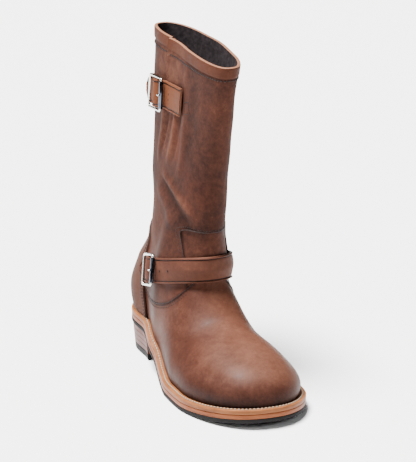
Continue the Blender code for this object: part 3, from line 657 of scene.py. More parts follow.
def mesh_object(name, points, faces, look, flat=False):
    mesh = bpy.data.meshes.new(name)
    mesh.from_pydata(np.asarray(points, float).reshape(-1, 3).tolist(), [], faces)
    mesh.validate()
    bm = bmesh.new()
    bm.from_mesh(mesh)
    bmesh.ops.recalc_face_normals(bm, faces=bm.faces)
    bm.to_mesh(mesh)
    bm.free()
    if not flat:
        mesh.shade_smooth()
    mesh.materials.append(look)
    obj = bpy.data.objects.new(name, mesh)
    bpy.context.collection.objects.link(obj)
    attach(obj, "root")
    return obj


def grid_faces(rows, count, closed):
    faces = []
    for i in range(rows - 1):
        for j in range(count if closed else count - 1):
            k = (j + 1) % count
            faces.append((i * count + j, i * count + k, (i + 1) * count + k, (i + 1) * count + j))
    return faces


def store(obj, name, values):
    """A number at each point, for the shaders."""
    layer = obj.data.attributes.new(name, "FLOAT", "POINT")
    layer.data.foreach_set("value", np.asarray(values, np.float32).ravel())


# Stitches: length, gap to the next and the thread's radius
COUNTER_STITCH = (0.0022, 0.0008, 0.00042)
EDGE_STITCH = (0.0021, 0.0009, 0.00042)
ANCHOR_STITCH = (0.0018, 0.0007, 0.0004)
BAND_STITCH = (0.0026, 0.0010, 0.0008)
WELT_STITCH = (0.0025, 0.0013, 0.00075)
# Sections along one stitch: place as a share of its length, radius and height as shares
STITCH_SECTIONS = ((-0.5, 0.35, -0.5), (-0.3, 0.9, 0.1), (0.3, 0.9, 0.1), (0.5, 0.35, -0.5))


def stitches(name, line, normals, look, size, lift=0.0):
    """Small rounded threads end to end along a line on a surface."""
    length, gap, radius = size
    total = lengths(line)
    count = int(total[-1] / (length + gap))
    starts = (np.arange(count) + 0.5) * total[-1] / count
    points = []
    faces = []
    sides = 6
    turn = np.arange(sides) * 2 * np.pi / sides

    def on(at, values):
        return np.column_stack([np.interp(at, total, values[:, i]) for i in range(3)])

    normal = on(starts, normals)
    normal /= np.linalg.norm(normal, axis=1, keepdims=True)
    for share, thick, depth in STITCH_SECTIONS:
        centre = on(starts + share * length, line) + normal * (lift + depth * radius)
        ahead = on(starts + length * 0.5, line) - on(starts - length * 0.5, line)
        ahead /= np.linalg.norm(ahead, axis=1, keepdims=True)
        side = np.cross(ahead, normal)
        ring = centre[:, None] + radius * thick * (
            side[:, None] * np.cos(turn)[:, None] + normal[:, None] * np.sin(turn)[:, None])
        points.append(ring)
    block = np.stack(points, 1)
    for n in range(count):
        base = n * 4 * sides
        for i in range(3):
            for j in range(sides):
                k = (j + 1) % sides
                a = base + i * sides
                faces.append((a + j, a + k, a + sides + k, a + sides + j))
        faces.append(tuple(base + j for j in range(sides)))
        faces.append(tuple(base + 3 * sides + j for j in reversed(range(sides))))
    return mesh_object(name, block.reshape(-1, 3), faces, look)


# Materials


# The lights are strong enough to whiten the floor, so colours are set darker by this share
TONE = 0.36


def srgb(red, green, blue):
    """A colour as it looks under this light, as linear values for the shader."""
    values = []
    for level in (red, green, blue):
        share = level / 255
        linear = share / 12.92 if share <= 0.04045 else ((share + 0.055) / 1.055) ** 2.4
        values.append(TONE * linear)
    return (*values, 1.0)


class Shader:
    """A node material, with short calls for the nodes used here."""

    def __init__(self, name, roughness=0.6, metallic=0.0, specular=0.35):
        self.material = bpy.data.materials.new(name)
        self.material.use_nodes = True
        self.tree = self.material.node_tree
        self.shader = self.tree.nodes["Principled BSDF"]
        self.shader.inputs["Roughness"].default_value = roughness
        self.shader.inputs["Metallic"].default_value = metallic
        self.shader.inputs["Specular IOR Level"].default_value = specular
        self.place = self.tree.nodes.new("ShaderNodeTexCoord").outputs["Object"]

    def link(self, value, socket):
        if isinstance(value, bpy.types.NodeSocket):
            self.tree.links.new(value, socket)
        else:
            socket.default_value = value

    def set(self, name, value):
        self.link(value, self.shader.inputs[name])

    def scaled(self, scale):
        node = self.tree.nodes.new("ShaderNodeMapping")
        node.inputs["Scale"].default_value = scale
        self.tree.links.new(self.place, node.inputs["Vector"])
        return node.outputs["Vector"]

    def noise(self, scale, detail=4.0, rough=0.5, stretch=(1, 1, 1), distort=0.0, shift=None):
        node = self.tree.nodes.new("ShaderNodeTexNoise")
        node.inputs["Scale"].default_value = scale
        node.inputs["Detail"].default_value = detail
        node.inputs["Roughness"].default_value = rough
        node.inputs["Distortion"].default_value = distort
        place = self.scaled(stretch)
        if shift is not None:
            place.node.inputs["Location"].default_value = shift
        self.tree.links.new(place, node.inputs["Vector"])
        return node.outputs["Fac"]

    def cells(self, scale, stretch=(1, 1, 1)):
        node = self.tree.nodes.new("ShaderNodeTexVoronoi")
        node.inputs["Scale"].default_value = scale
        self.tree.links.new(self.scaled(stretch), node.inputs["Vector"])
        return node.outputs["Distance"]

    def ramp(self, value, stops):
        node = self.tree.nodes.new("ShaderNodeValToRGB")
        self.tree.links.new(value, node.inputs["Fac"])
        elements = node.color_ramp.elements
        while len(elements) < len(stops):
            elements.new(0.5)
        for element, (at, colour) in zip(elements, stops):
            element.position = at
            element.color = colour if np.ndim(colour) else (colour, colour, colour, 1)
        return node.outputs["Color"]

    def math(self, operation, a, b=0.0, clamp=False):
        node = self.tree.nodes.new("ShaderNodeMath")
        node.operation = operation
        node.use_clamp = clamp
        self.link(a, node.inputs[0])
        self.link(b, node.inputs[1])
        return node.outputs[0]

    def mix(self, share, a, b, blend="MIX"):
        node = self.tree.nodes.new("ShaderNodeMix")
        node.data_type = "RGBA"
        node.blend_type = blend
        self.link(share, node.inputs[0])
        self.link(a, node.inputs[6])
        self.link(b, node.inputs[7])
        return node.outputs[2]

    def stored(self, name):
        node = self.tree.nodes.new("ShaderNodeAttribute")
        node.attribute_name = name
        return node.outputs["Fac"]

    def bump(self, layers):
        """Bumps on bumps, each given as a height, its size in metres and its strength."""
        normal = None
        for height, size, strength in layers:
            node = self.tree.nodes.new("ShaderNodeBump")
            node.inputs["Distance"].default_value = size
            node.inputs["Strength"].default_value = strength
            self.tree.links.new(height, node.inputs["Height"])
            if normal is not None:
                self.tree.links.new(normal, node.inputs["Normal"])
            normal = node.outputs["Normal"]
        self.tree.links.new(normal, self.shader.inputs["Normal"])


def leather(name, dark, middle, light, roughness=0.66, mottle=1.0, attributes=False):
    """Oiled leather: soft burnished patches, fine grain and paler scuffs; with attributes, also
    stored uneven tone with painted highlights and painted shade, rust patches, and painted shade at
    edges, creases and the welt joint.
    """
    s = Shader(name, roughness, specular=0.07)
    broad = s.noise(11, 3, 0.5, stretch=(1, 1, 0.7), distort=0.3)
    clouds = s.noise(48, 5, 0.62, distort=0.5)
    fine = s.noise(240, 5, 0.65, shift=(3, 1, 2))
    both = s.math("ADD", s.math("MULTIPLY", broad, 0.42), s.math("MULTIPLY", clouds, 0.33))
    both = s.math("ADD", both, s.math("MULTIPLY", fine, 0.25))
    if attributes:
        dull = s.stored("dull")
        away = s.math("SUBTRACT", both, 0.5)
        contrast = s.math("ADD", s.math("MULTIPLY", dull, 0.5), 1.0)
        both = s.math("ADD", s.math("MULTIPLY", away, contrast), 0.5)
        # Stored uneven tone with painted highlights and painted shade
        both = s.math("ADD", both, s.stored("tone_and_painted_light"))
    spread = 0.25 / mottle
    colour = s.ramp(both, [(0.5 - spread, dark), (0.5, middle), (0.5 + spread, light)])
    speckle = s.noise(1100, 3, 0.7)
    colour = s.mix(0.6, colour, s.ramp(speckle, [(0.35, 0.78), (0.62, 1.0)]), "MULTIPLY")
    scuffs = s.noise(1.0, 4, 0.7, stretch=(260, 130, 130), distort=0.8, shift=(1, 5, 2))
    colour = s.mix(s.ramp(scuffs, [(0.66, 0.0), (0.78, 0.35)]), colour, light)
    if attributes:
        colour = s.mix(s.stored("rust"), colour, RUST)
        # Painted shade darkens the leather at its edges, creases and welt joint
        colour = s.mix(s.stored("painted_shade"), colour, srgb(26, 15, 12))
    s.set("Base Color", colour)
    rough = s.ramp(clouds, [(0.3, roughness - 0.08), (0.7, roughness + 0.08)])
    if attributes:
        rough = s.math("ADD", rough, s.math("MULTIPLY", dull, 0.30))
    s.set("Roughness", rough)
    waves = s.noise(70, 3, 0.5)
    s.bump([(waves, 0.0007, 0.22), (s.cells(950), 0.00010, 0.25), (speckle, 0.00010, 0.30)])
    return s.material


def plain(name, colour, roughness=0.5, metallic=0.0, grain=600, depth=0.0001, vary=0.12,
          specular=0.2):
    """A plain surface with slight unevenness."""
    s = Shader(name, roughness, metallic, specular)
    n = s.noise(grain, 4, 0.6)
    low = tuple(c * (1 - vary) for c in colour[:3]) + (1.0,)
    high = tuple(min(1.0, c * (1 + vary)) for c in colour[:3]) + (1.0,)
    s.set("Base Color", s.ramp(n, [(0.35, low), (0.65, high)]))
    s.bump([(n, depth, 0.5)])
    return s.material


def stacked(name, low, high, streak=(30, 30, 900)):
    """The cut edge of sole leather: fine level streaks."""
    s = Shader(name, 0.48, specular=0.12)
    n = s.noise(1.0, 4, 0.6, stretch=streak)
    broad = s.noise(35, 3, 0.5)
    both = s.math("ADD", s.math("MULTIPLY", n, 0.65), s.math("MULTIPLY", broad, 0.35))
    s.set("Base Color", s.ramp(both, [(0.36, low), (0.64, high)]))
    s.bump([(n, 0.0002, 0.4)])
    return s.material


RUST = srgb(128, 62, 38)
UPPER = leather("shaft_and_vamp_leather",
                srgb(56, 31, 25), srgb(101, 60, 47), srgb(146, 96, 76), 0.50, attributes=True)
COUNTER_LEATHER = leather("counter_leather",
                          srgb(76, 43, 33), srgb(108, 66, 50), srgb(146, 98, 76))
STRAP = leather("strap_leather_look",
                srgb(84, 48, 38), srgb(118, 72, 56), srgb(148, 96, 76), mottle=1.2)
TOP_STRAP = leather("top_strap_leather",
                    srgb(104, 56, 34), srgb(134, 76, 48), srgb(158, 98, 64), mottle=1.3)
BAND_LEATHER = leather("collar_band_leather",
                       srgb(76, 40, 27), srgb(108, 60, 41), srgb(138, 86, 60))
RAW_EDGE = plain("raw_leather_edge", srgb(196, 134, 100), 0.6, vary=0.2, grain=500)
RAW_DARK = plain("counter_cut_edge", srgb(74, 44, 33), 0.7)
SHADOW_LINE = plain("painted_shadow_line", srgb(52, 27, 20), 0.6, vary=0.3)
# Dark brown for painted shadow: lines at the shaft leather's edges and the slit, and the grooves
# beside the straps' rolled edges
STRAP_EDGE = plain("strap_cut_edge", srgb(150, 96, 72), 0.6, vary=0.2)
# A near-black disc stands for a punched hole: painted shade inside the hole
HOLE_SHADE = plain("punched_hole_shade", srgb(20, 12, 10), 0.9)
LINING = plain("lining_cloth", srgb(72, 62, 65), 0.8, grain=160, depth=0.0016, vary=0.35,
               specular=0.15)
GUSSET = plain("gusset_hide", srgb(150, 92, 58), 0.75, grain=300)
WELT = stacked("welt_leather", srgb(158, 92, 50), srgb(204, 128, 76), (60, 60, 300))
MIDSOLE = stacked("midsole_leather", srgb(156, 82, 44), srgb(206, 122, 74), (40, 40, 1200))
HEEL = stacked("heel_leather_stack", srgb(112, 54, 42), srgb(160, 90, 68), (25, 25, 1500))
RUBBER = plain("black_rubber", srgb(40, 38, 38), 0.7, grain=900, specular=0.1)
BOARD = plain("insole_leather", srgb(120, 84, 60), 0.75, grain=400)
THREAD = plain("upper_thread", srgb(38, 21, 17), 0.6, grain=2500)
WELT_THREAD = plain("welt_thread", srgb(226, 206, 180), 0.6, grain=2500)
NICKEL = plain("polished_nickel_look", (0.66, 0.65, 0.61, 1.0), 0.16, 1.0,
               grain=300, depth=0.00002, vary=0.05)
# The roller's metal is near black: a painted dark reflection of the surroundings
ROLLER_DARK_REFLECTION = plain("roller_painted_dark_reflection", (0.07, 0.08, 0.10, 1.0), 0.10, 1.0,
                    grain=300, depth=0.00002, vary=0.25)


# Lines on the last


def shaft_edge_flat():
    share, height = columns(SHAFT_EDGE)
    y = HEEL_SEAT_BACK - FOOT_LENGTH * share
    z = HEEL_WELT_TOP + ANKLE_HEIGHT * height - 0.01
    return curved(np.column_stack([y, z]))


def window_flat(grow=0.0):
    left = WINDOW_MIDDLE - WINDOW_HALF_WIDTH - grow
    right = WINDOW_MIDDLE + WINDOW_HALF_WIDTH + grow
    top = WINDOW_TOP + grow
    corner = WINDOW_CORNER + grow
    low = WINDOW_FOOT
    line = [(left, low), (left, (low + top) / 2), (left, top - corner)]
    for i in range(1, 9):
        turn = np.pi / 2 * i / 8
        line.append((left + corner * (1 - np.cos(turn)), top - corner * (1 - np.sin(turn))))
    middle = (left + right) / 2
    line.append((middle, top + 0.001))
    mirrored = [(2 * middle - x, z) for x, z in line[:-1]][::-1]
    return evened(np.array(line + mirrored), 0.0015)


WINDOW_FOOT = 0.099
SHAFT_EDGE_FLAT = shaft_edge_flat()
EDGE_LINES = [side_points(SHAFT_EDGE_FLAT, side) for side in (-1.0, 1.0)]
WINDOW_LINE = front_points(window_flat())


# The leather body


def inside_outline(a, b, outline):
    """Whether flat points lie inside a closed flat outline."""
    inside = np.zeros(np.shape(a), bool)
    for (a0, b0), (a1, b1) in zip(outline, np.roll(outline, -1, 0)):
        crosses = (b0 > b) != (b1 > b)
        if b1 != b0:
            inside ^= crosses & (a < (a1 - a0) * (b - b0) / (b1 - b0) + a0)
    return inside


def shaft_inside(points):
    """Signed distance to the shaft leather's edge: positive on the shaft leather."""
    x, y, z = np.moveaxis(points, -1, 0)
    line = SHAFT_EDGE_FLAT
    around = [(-0.2, line[-1, 1]), (-0.2, 0.4), (0.1, 0.4), (0.1, 0.0), (line[0, 0], 0.0)]
    side = np.concatenate([line, around])
    flat = window_flat()
    window = np.concatenate([flat, [(flat[-1, 0], 0.0), (flat[0, 0], 0.0)]])
    covered = inside_outline(y, z, side)
    open_ = inside_outline(x, z, window) & (y < -0.06)
    near = np.minimum(distance_to(points, EDGE_LINES[0]), distance_to(points, EDGE_LINES[1]))
    far = np.minimum(near, distance_to(points, WINDOW_LINE))
    return np.where(covered & ~open_, far, -far)


# Creases and swellings of the leather: the side (-1 outer, 1 inner, 0 both), a line in
# the side view from y0, z0 to y1, z1, its half width and height (below 0 a trough)
FOLDS = [
    ("side", "y0", "z0", "y1", "z1", "half width", "height"),
    (-1, -0.034, 0.194, -0.100, 0.170, 0.0045, 0.0022),
    (-1, -0.032, 0.184, -0.096, 0.158, 0.0060, -0.0024),
    (-1, -0.018, 0.176, -0.070, 0.152, 0.0060, 0.0012),
    (-1, -0.058, 0.268, -0.050, 0.215, 0.0050, -0.0015),
    (-1, -0.046, 0.262, -0.040, 0.212, 0.0045, 0.0016),
    (-1, -0.072, 0.262, -0.068, 0.205, 0.0060, 0.0014),
    (-1, -0.036, 0.262, -0.030, 0.220, 0.0040, -0.0010),
    (-1, -0.014, 0.262, -0.012, 0.205, 0.0045, 0.0014),
    (-1, -0.058, 0.318, -0.062, 0.290, 0.0070, 0.0010),
    (-1, -0.088, 0.300, -0.085, 0.230, 0.0090, -0.0010),
    (-1, -0.060, 0.146, -0.100, 0.138, 0.0050, -0.0010),
    (1, -0.020, 0.190, -0.090, 0.165, 0.0070, -0.0015),
    (1, -0.010, 0.175, -0.080, 0.150, 0.0070, 0.0014),
    (1, -0.030, 0.300, -0.050, 0.230, 0.0100, -0.0010),
]
FOLD_LINES = [np.linspace((row[1], row[2]), (row[3], row[4]), 24) for row in FOLDS[1:]]


def folds(points):
    x, y, z = np.moveaxis(points, -1, 0)
    height = np.zeros(x.shape)
    middle = shaft_middle(z)
    for row, flat in zip(FOLDS[1:], FOLD_LINES):
        side = row[0]
        a, b = flat[0], flat[-1]
        along = (b - a) / np.linalg.norm(b - a)
        length = np.linalg.norm(b - a)
        dy, dz = y - a[0], z - a[1]
        t = dy * along[0] + dz * along[1]
        off = -dy * along[1] + dz * along[0] + 0.0030 * np.sin(t / length * 3.1)
        fade = smooth((t + 0.012) / 0.022) * smooth((length + 0.012 - t) / 0.022)
        here = np.exp(-((off / row[5]) ** 2)) * fade * row[6]
        if side:
            here = here * smooth((side * (x - middle) + 0.004) / 0.012)
        height += here
    return height


def swell(points):
    """The slow unevenness of worn leather, stronger up the shaft."""
    x, y, z = np.moveaxis(points, -1, 0)
    wave = np.sin(61 * y + 23 * z + 1.0) * np.sin(47 * z - 19 * y + 40 * x + 0.4)
    wave += 0.6 * np.sin(97 * z + 35 * y + 2.0) * np.sin(83 * y - 41 * z + 1.1)
    up = smooth((z - 0.10) / 0.06)
    return wave * (0.00015 + 0.0005 * up)


SLIT_LOW = BOOT_HEIGHT - SLIT_DEPTH
SLIT_TAIL_Y = -0.020
FINE_ROUND = 300
FINE_UP = 200


def slit_y(z):
    """The slit's line: upright in the band, then leaning forward to its foot."""
    heights = (SLIT_LOW - 0.04, SLIT_LOW, BOOT_HEIGHT - BAND_HEIGHT)
    return np.interp(z, heights, (SLIT_TAIL_Y, SLIT_FOOT_Y, SLIT_Y))


def slit_relief(points):
    """The front edge of the slit stands out over the rear one, and ends in a soft crease."""
    x, y, z = np.moveaxis(points, -1, 0)
    outer = smooth((0.012 - x) / 0.008)
    up = smooth((z - SLIT_LOW + 0.004) / 0.05) * outer
    tail = smooth((z - SLIT_LOW + 0.045) / 0.02) * smooth((SLIT_LOW + 0.01 - z) / 0.012) * outer
    off = y - slit_y(z)
    front = np.exp(-np.clip(-off, 0, None) / 0.009) * (off < 0)
    rear = np.exp(-np.clip(off, 0, None) / 0.007) * (off >= 0)
    return up * (0.0026 * front - 0.0010 * rear) - tail * 0.0022 * np.exp(-((off / 0.0035) ** 2))


def body_height(points):
    """How far the leather stands off the last, and shaft_inside at the points."""
    signed = shaft_inside(points)
    step = SHAFT_STEP * smooth((signed + 0.0007) / 0.0014)
    return step + folds(points) + swell(points) + slit_relief(points), signed


# The slit is open this far to each side of its line, which crosses grid points nearer than this
SLIT_HALF_GAP = 0.0006
SLIT_SEARCH = 0.004
# The collar's cut edge is rounded up by this much
RIM_RISE = 0.0005


def spots(table, x, y, z):
    """Soft round patches from a table of rows, summed."""
    total = np.zeros(x.shape)
    for side, y0, z0, radius, strength in table[1:]:
        d2 = ((y - y0) ** 2 + (z - z0) ** 2) / radius**2
        near = smooth((side * x + 0.012) / 0.02) if side else 1.0
        total += strength * np.exp(-d2) * near
    return total


def make_body():
    u = np.arange(FINE_ROUND) / FINE_ROUND
    v = np.append(np.linspace(0, 1, FINE_UP), [1.012, 1.024, 1.036, 1.05])
    grid = upper_surface(u[None, :], v[:, None])
    normal = shell_normals(grid)
    flat = level_normals(grid)
    blend = smooth((v - 0.97) / 0.04)[:, None, None]
    normal = normal * (1 - blend) + flat * blend
    normal[0] = flat[0]
    height, signed = body_height(grid)
    low = smooth(v / 0.05)[:, None]
    height = height * low
    outer = grid + normal * height[..., None]
    rows, count = outer.shape[:2]
    inner_height = height * smooth((v - 0.5) / 0.2)[:, None]
    inner = grid + normal * (inner_height - WALL)[..., None]

    # The slit: points close to it move to its edges, and the faces between go
    x, y, z = np.moveaxis(grid, -1, 0)
    off = y - slit_y(z)
    ahead = np.roll(off, -1, axis=1)
    crossed = (x < 0.006) & (z > SLIT_LOW) & (off * ahead < 0) & (np.abs(off) < SLIT_SEARCH)
    gaps = crossed[:-1].ravel()
    faces = [face for face, gap in zip(grid_faces(rows, count, True), gaps) if not gap]
    lips = []
    for i, j in np.argwhere(crossed):
        k = (j + 1) % count
        for m in (j, k):
            shift = np.sign(off[i, m]) * SLIT_HALF_GAP - off[i, m]
            outer[i, m, 1] += shift
            inner[i, m, 1] += shift
        lips.append((i, j, k))
    body = mesh_object("shaft_and_vamp", outer, faces, UPPER)
    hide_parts("upper")

    vamp = smooth((0.0 - signed) / 0.002)
    # Uneven tone with painted highlights and painted shade from the spots, a little paler on the
    # vamp, darker up the shaft, and paler on the crease ridges
    tone_and_painted_light = spots(LIGHT_AND_TONE_SPOTS, x, y, z) + vamp * 0.03 - 0.05 * smooth((z - 0.12) / 0.04)
    tone_and_painted_light = tone_and_painted_light + np.clip(folds(grid) / 0.0022, 0, 1) * 0.15
    # Painted shade: dark along the shaft leather's edges, in the crease troughs and where the upper
    # meets the welt
    painted_shade = 0.45 * np.exp(-(((signed + 0.0004) / 0.0014) ** 2))
    crease_shade = np.clip(-folds(grid) / 0.0024, 0, 1) * 0.34
    welt_joint_shade = 0.7 * np.exp(-(v / 0.012) ** 2)[:, None]
    store(body, "tone_and_painted_light", tone_and_painted_light)
    store(body, "dull", smooth((z - 0.10) / 0.04))
    store(body, "rust", np.clip(spots(RUST_SPOTS, x, y, z), 0, 0.8))
    store(body, "painted_shade", np.clip(painted_shade + crease_shade + welt_joint_shade, 0, 0.9))

    lining = mesh_object("shaft_lining", inner, faces, LINING)
    rise = np.array([0, 0, RIM_RISE])
    outer_rim = outer[-1] * 0.7 + inner[-1] * 0.3 + rise
    inner_rim = outer[-1] * 0.3 + inner[-1] * 0.7 + rise
    rim_rings = [outer[-1], outer_rim, inner_rim, inner[-1]]
    rim_faces = grid_faces(4, count, True)
    broken = {j for i, j, k in lips if i == rows - 1}
    rim_faces = [f for n, f in enumerate(rim_faces) if n % count not in broken]
    rim = mesh_object("collar_cut_edge", np.array(rim_rings), rim_faces, RAW_EDGE)
    lip_points = []
    lip_faces = []
    for i, j, k in lips:
        base = len(lip_points)
        lip_points += [outer[i, j], inner[i, j], outer[i, k], inner[i, k]]
        if base:
            for c in (0, 2):
                lip_faces.append((base - 4 + c, base + c, base + c + 1, base - 3 + c))
    lip = mesh_object("slit_cut_edges", lip_points, lip_faces, RAW_EDGE, flat=True)


# Paler (above 0) and darker patches on the leather: uneven tone, painted highlights and painted
# shade; then rust-coloured ones
LIGHT_AND_TONE_SPOTS = [
    ("side", "y", "z", "radius", "strength"),
    # Uneven tone on the shaft and round the lobe
    (-1, -0.020, 0.290, 0.040, 0.10),
    (-1, -0.040, 0.225, 0.022, 0.08),
    (-1, -0.095, 0.205, 0.028, -0.10),
    (-1, -0.110, 0.255, 0.040, -0.10),
    (0, -0.125, 0.200, 0.050, -0.08),
    (-1, -0.090, 0.180, 0.014, 0.10),
    (-1, -0.020, 0.150, 0.040, 0.08),
    (-1, -0.065, 0.088, 0.022, -0.07),
    (0, -0.125, 0.135, 0.030, -0.07),
    # Painted highlights on the vamp's ridge and top, the toe's top and the sides
    (0, -0.135, 0.100, 0.016, 0.12),
    (0, -0.190, 0.070, 0.035, 0.10),
    (0, -0.226, 0.054, 0.022, 0.12),
    (0, -0.140, 0.098, 0.016, 0.12),
    (-1, -0.060, 0.045, 0.040, 0.03),
    (1, -0.150, 0.060, 0.040, 0.08),
    # Painted shade low round the toe and along the outer side
    (0, -0.262, 0.014, 0.030, -0.26),
    (-1, -0.225, 0.012, 0.028, -0.20),
    (-1, -0.180, 0.016, 0.022, -0.12),
    (-1, -0.130, 0.026, 0.020, -0.08),
]
RUST_SPOTS = [
    ("side", "y", "z", "radius", "strength"),
    (-1, -0.060, 0.232, 0.013, 0.40),
    (-1, -0.042, 0.250, 0.010, 0.30),
    (-1, -0.084, 0.215, 0.014, 0.22),
    (-1, -0.100, 0.190, 0.016, 0.15),
    (0, -0.140, 0.090, 0.025, 0.15),
    (0, -0.170, 0.080, 0.030, 0.15),
]


# Straps, band, counter


def slab(name, inner, outer, look, edge_look=None):
    """A sheet between two grids, with its cut edges in a look of their own if one is given.

    Also gives the number of faces before those of the edges."""
    rows, count = inner.shape[:2]
    shift = rows * count
    faces = []
    for base in (0, shift):
        faces += [tuple(base + c for c in face) for face in grid_faces(rows, count, False)]
    border = list(range(count))
    border += [a * count + count - 1 for a in range(1, rows)]
    border += [(rows - 1) * count + b for b in range(count - 2, -1, -1)]
    border += [a * count for a in range(rows - 2, 0, -1)]
    sides = len(faces)
    for a, b in zip(border, border[1:] + border[:1]):
        faces.append((a, b, b + shift, a + shift))
    points = np.concatenate([inner.reshape(-1, 3), outer.reshape(-1, 3)])
    obj = mesh_object(name, points, faces, look)
    obj.data.set_sharp_from_angle(angle=1.0)
    if edge_look:
        obj.data.materials.append(edge_look)
        for n in range(sides, len(faces)):
            obj.data.polygons[n].material_index = 1
    return obj, sides


def rounded_slab(name, grid, normal, low, thick, look, edge_look=None):
    """A sheet between two distances from a grid, thinner at its first and last row."""
    low = np.broadcast_to(np.asarray(low, float), grid.shape[:2])
    inner = grid + normal * low[..., None]
    outer = inner + normal * thick
    soft = np.zeros(grid.shape[:2])
    soft[[0, -1]] = 0.35
    outer = outer - normal * (soft * thick)[..., None]
    return slab(name, inner, outer, look, edge_look)[0]


def make_counter():
    z = np.linspace(UPPER_BASE + 0.0002, COUNTER_TOP, 26)
    edge = counter_edge(z)
    grid = patch(z, edge, 150, -0.002, -0.016)
    normal = out_at(grid)
    normal[0] = level_normals(grid, closed=False)[0]
    clear = SHAFT_STEP + GAP
    thick = COUNTER_THICKNESS + 0.0002
    obj = rounded_slab("heel_counter", grid, normal, clear, thick, COUNTER_LEATHER, RAW_DARK)
    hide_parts("counter")
    top = clear + thick
    for side in (-1, 1):
        for n, inset in enumerate((0.0022, 0.0046)):
            flat = offset_line(curved(np.column_stack([edge, z])), -inset)
            flat = flat[(flat[:, 1] > UPPER_BASE + 0.002) & (flat[:, 1] < COUNTER_TOP - 0.004)]
            line = side_points(flat, float(side))
            away = out_at(line)
            name = f"counter_stitches_{'outer' if side < 0 else 'inner'}_{n + 1}"
            row = stitches(name, line + away * top, away, THREAD, COUNTER_STITCH)


def make_band():
    turns = np.linspace(0.02, 0.48, 721)
    ring = upper_surface(turns, np.full(721, 1.02))
    start, stop = np.interp([SLIT_Y + 0.0007, SLIT_Y - 0.0007], ring[:, 1], turns)
    u = np.linspace(start, stop + 1, 420)
    v = np.linspace(1.0, 1.05, 9)
    grid = upper_surface(u[None, :], v[:, None])
    normal = level_normals(grid, closed=False)
    height, _ = body_height(grid)
    low = np.minimum(height, SHAFT_STEP + 0.004) - 0.0002
    obj = rounded_slab("collar_band", grid, normal, low, BAND_THICKNESS, BAND_LEATHER, RAW_EDGE)
    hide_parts("top_band")
    line = upper_surface(u, np.full(len(u), 0.992))
    above = line + np.array([0, 0, 0.001])
    away = level_normals(np.stack([line, above]), closed=False)[0]
    height, _ = body_height(line)
    line = line + away * height[:, None]
    keep = slice(4, -4)
    row = stitches("band_stitches", line[keep], away[keep], THREAD, BAND_STITCH, lift=0.0002)


def make_gusset():
    rows = []
    for z in np.linspace(GUSSET_LOW, BOOT_HEIGHT - 0.002, 9):
        sheet = (z, 0.0, -0.012, -0.090)
        turns = np.linspace(0.15 * np.pi, 0.85 * np.pi, 181)
        ends = np.interp(GUSSET_SPAN, sheet_ring(turns, *sheet)[:, 1], turns)
        rows.append(sheet_ring(evenly(ends, 40, *sheet), *sheet))
    grid = np.array(rows)
    normal = level_normals(grid, closed=False)
    low = slit_relief(grid) - WALL - GAP - GUSSET_THICKNESS
    obj = rounded_slab("slit_gusset", grid, normal, low, GUSSET_THICKNESS, GUSSET)
    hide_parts("gusset")


def fine_row_shares():
    """Rows across a strap: close together at the rolled edges."""
    edge = [0.0, 0.015, 0.04, 0.065, 0.085, 0.11, 0.15]
    inner = np.linspace(0.21, 0.79, 7)
    return np.array(edge + list(inner) + [1 - e for e in edge[::-1]]) - 0.5


STRAP_PROFILE = [
    # Height of a strap's face over its width: rolled edge, groove, flat middle
    ("share", "height"),
    (0.000, -0.0007),
    (0.015, 0.0002),
    (0.040, 0.0006),
    (0.065, 0.0002),
    (0.085, -0.0006),
    (0.110, -0.0002),
    (0.150, 0.0001),
    (0.500, 0.0004),
]


# The groove beside a strap's rolled edge, where shade is painted, as shares of the width, and a
# punched hole
GROOVE_SHARES = (0.070, 0.100)
STRAP_HOLE_RADIUS = 0.0011


def make_strap(name, node, bed, table, look, start=None, stop=None, holes=()):
    """A strap on its bed, with rolled edges and painted shade in the groove beside each."""
    along, lift, share = columns(table)
    first = along[0] if start is None else start
    last = along[-1] if stop is None else stop
    stations = np.arange(first, last, 0.0012)
    stations = np.append(stations, last)
    lifts = curve(np.clip(stations, along[0], along[-1]), along, lift)
    shares = np.interp(stations, along, share)
    across = fine_row_shares()
    grid = np.array([bed.row(stations, w * bed.width * shares) for w in across])
    normal = shell_normals(grid, closed=False).mean(axis=0, keepdims=True)
    normal = normal / np.linalg.norm(normal, axis=2, keepdims=True)
    normal = np.broadcast_to(normal, grid.shape)
    knots, rise = columns(STRAP_PROFILE)
    profile = np.interp(0.5 - np.abs(across), knots, rise)
    inner = grid + normal * lifts[None, :, None]
    outer = inner + normal * (STRAP_THICKNESS - 0.0004 + profile[:, None, None])
    obj, sides = slab(name, inner, outer, look, STRAP_EDGE)
    obj.data.materials.append(SHADOW_LINE)
    # The faces in the grooves get the painted shade
    strips = 0.5 - np.abs((across[:-1] + across[1:]) / 2)
    squares = len(stations) - 1
    for a in np.flatnonzero((strips > GROOVE_SHARES[0]) & (strips < GROOVE_SHARES[1])):
        for b in range(squares):
            obj.data.polygons[sides // 2 + a * squares + b].material_index = 2
    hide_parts(node)
    # Each hole is a dark disc on the strap: painted shade
    for n, (s, w) in enumerate(holes):
        i = int(np.argmin(np.abs(across * bed.width - w)))
        j = int(np.argmin(np.abs(stations - s)))
        place = outer[i, j] + normal[i, j] * 0.00008
        disc(f"{name}_hole_{n + 1}", place, normal[i, j], STRAP_HOLE_RADIUS, HOLE_SHADE)


def disc(name, centre, normal, radius, look):
    side = np.cross(normal, [0.0, 0.0, 1.0])
    side /= np.linalg.norm(side)
    up = np.cross(normal, side)
    turn = np.arange(14) * 2 * np.pi / 14
    ring = centre + radius * (side * np.cos(turn)[:, None] + up * np.sin(turn)[:, None])
    obj = mesh_object(name, ring, [tuple(range(14))], look, flat=True)


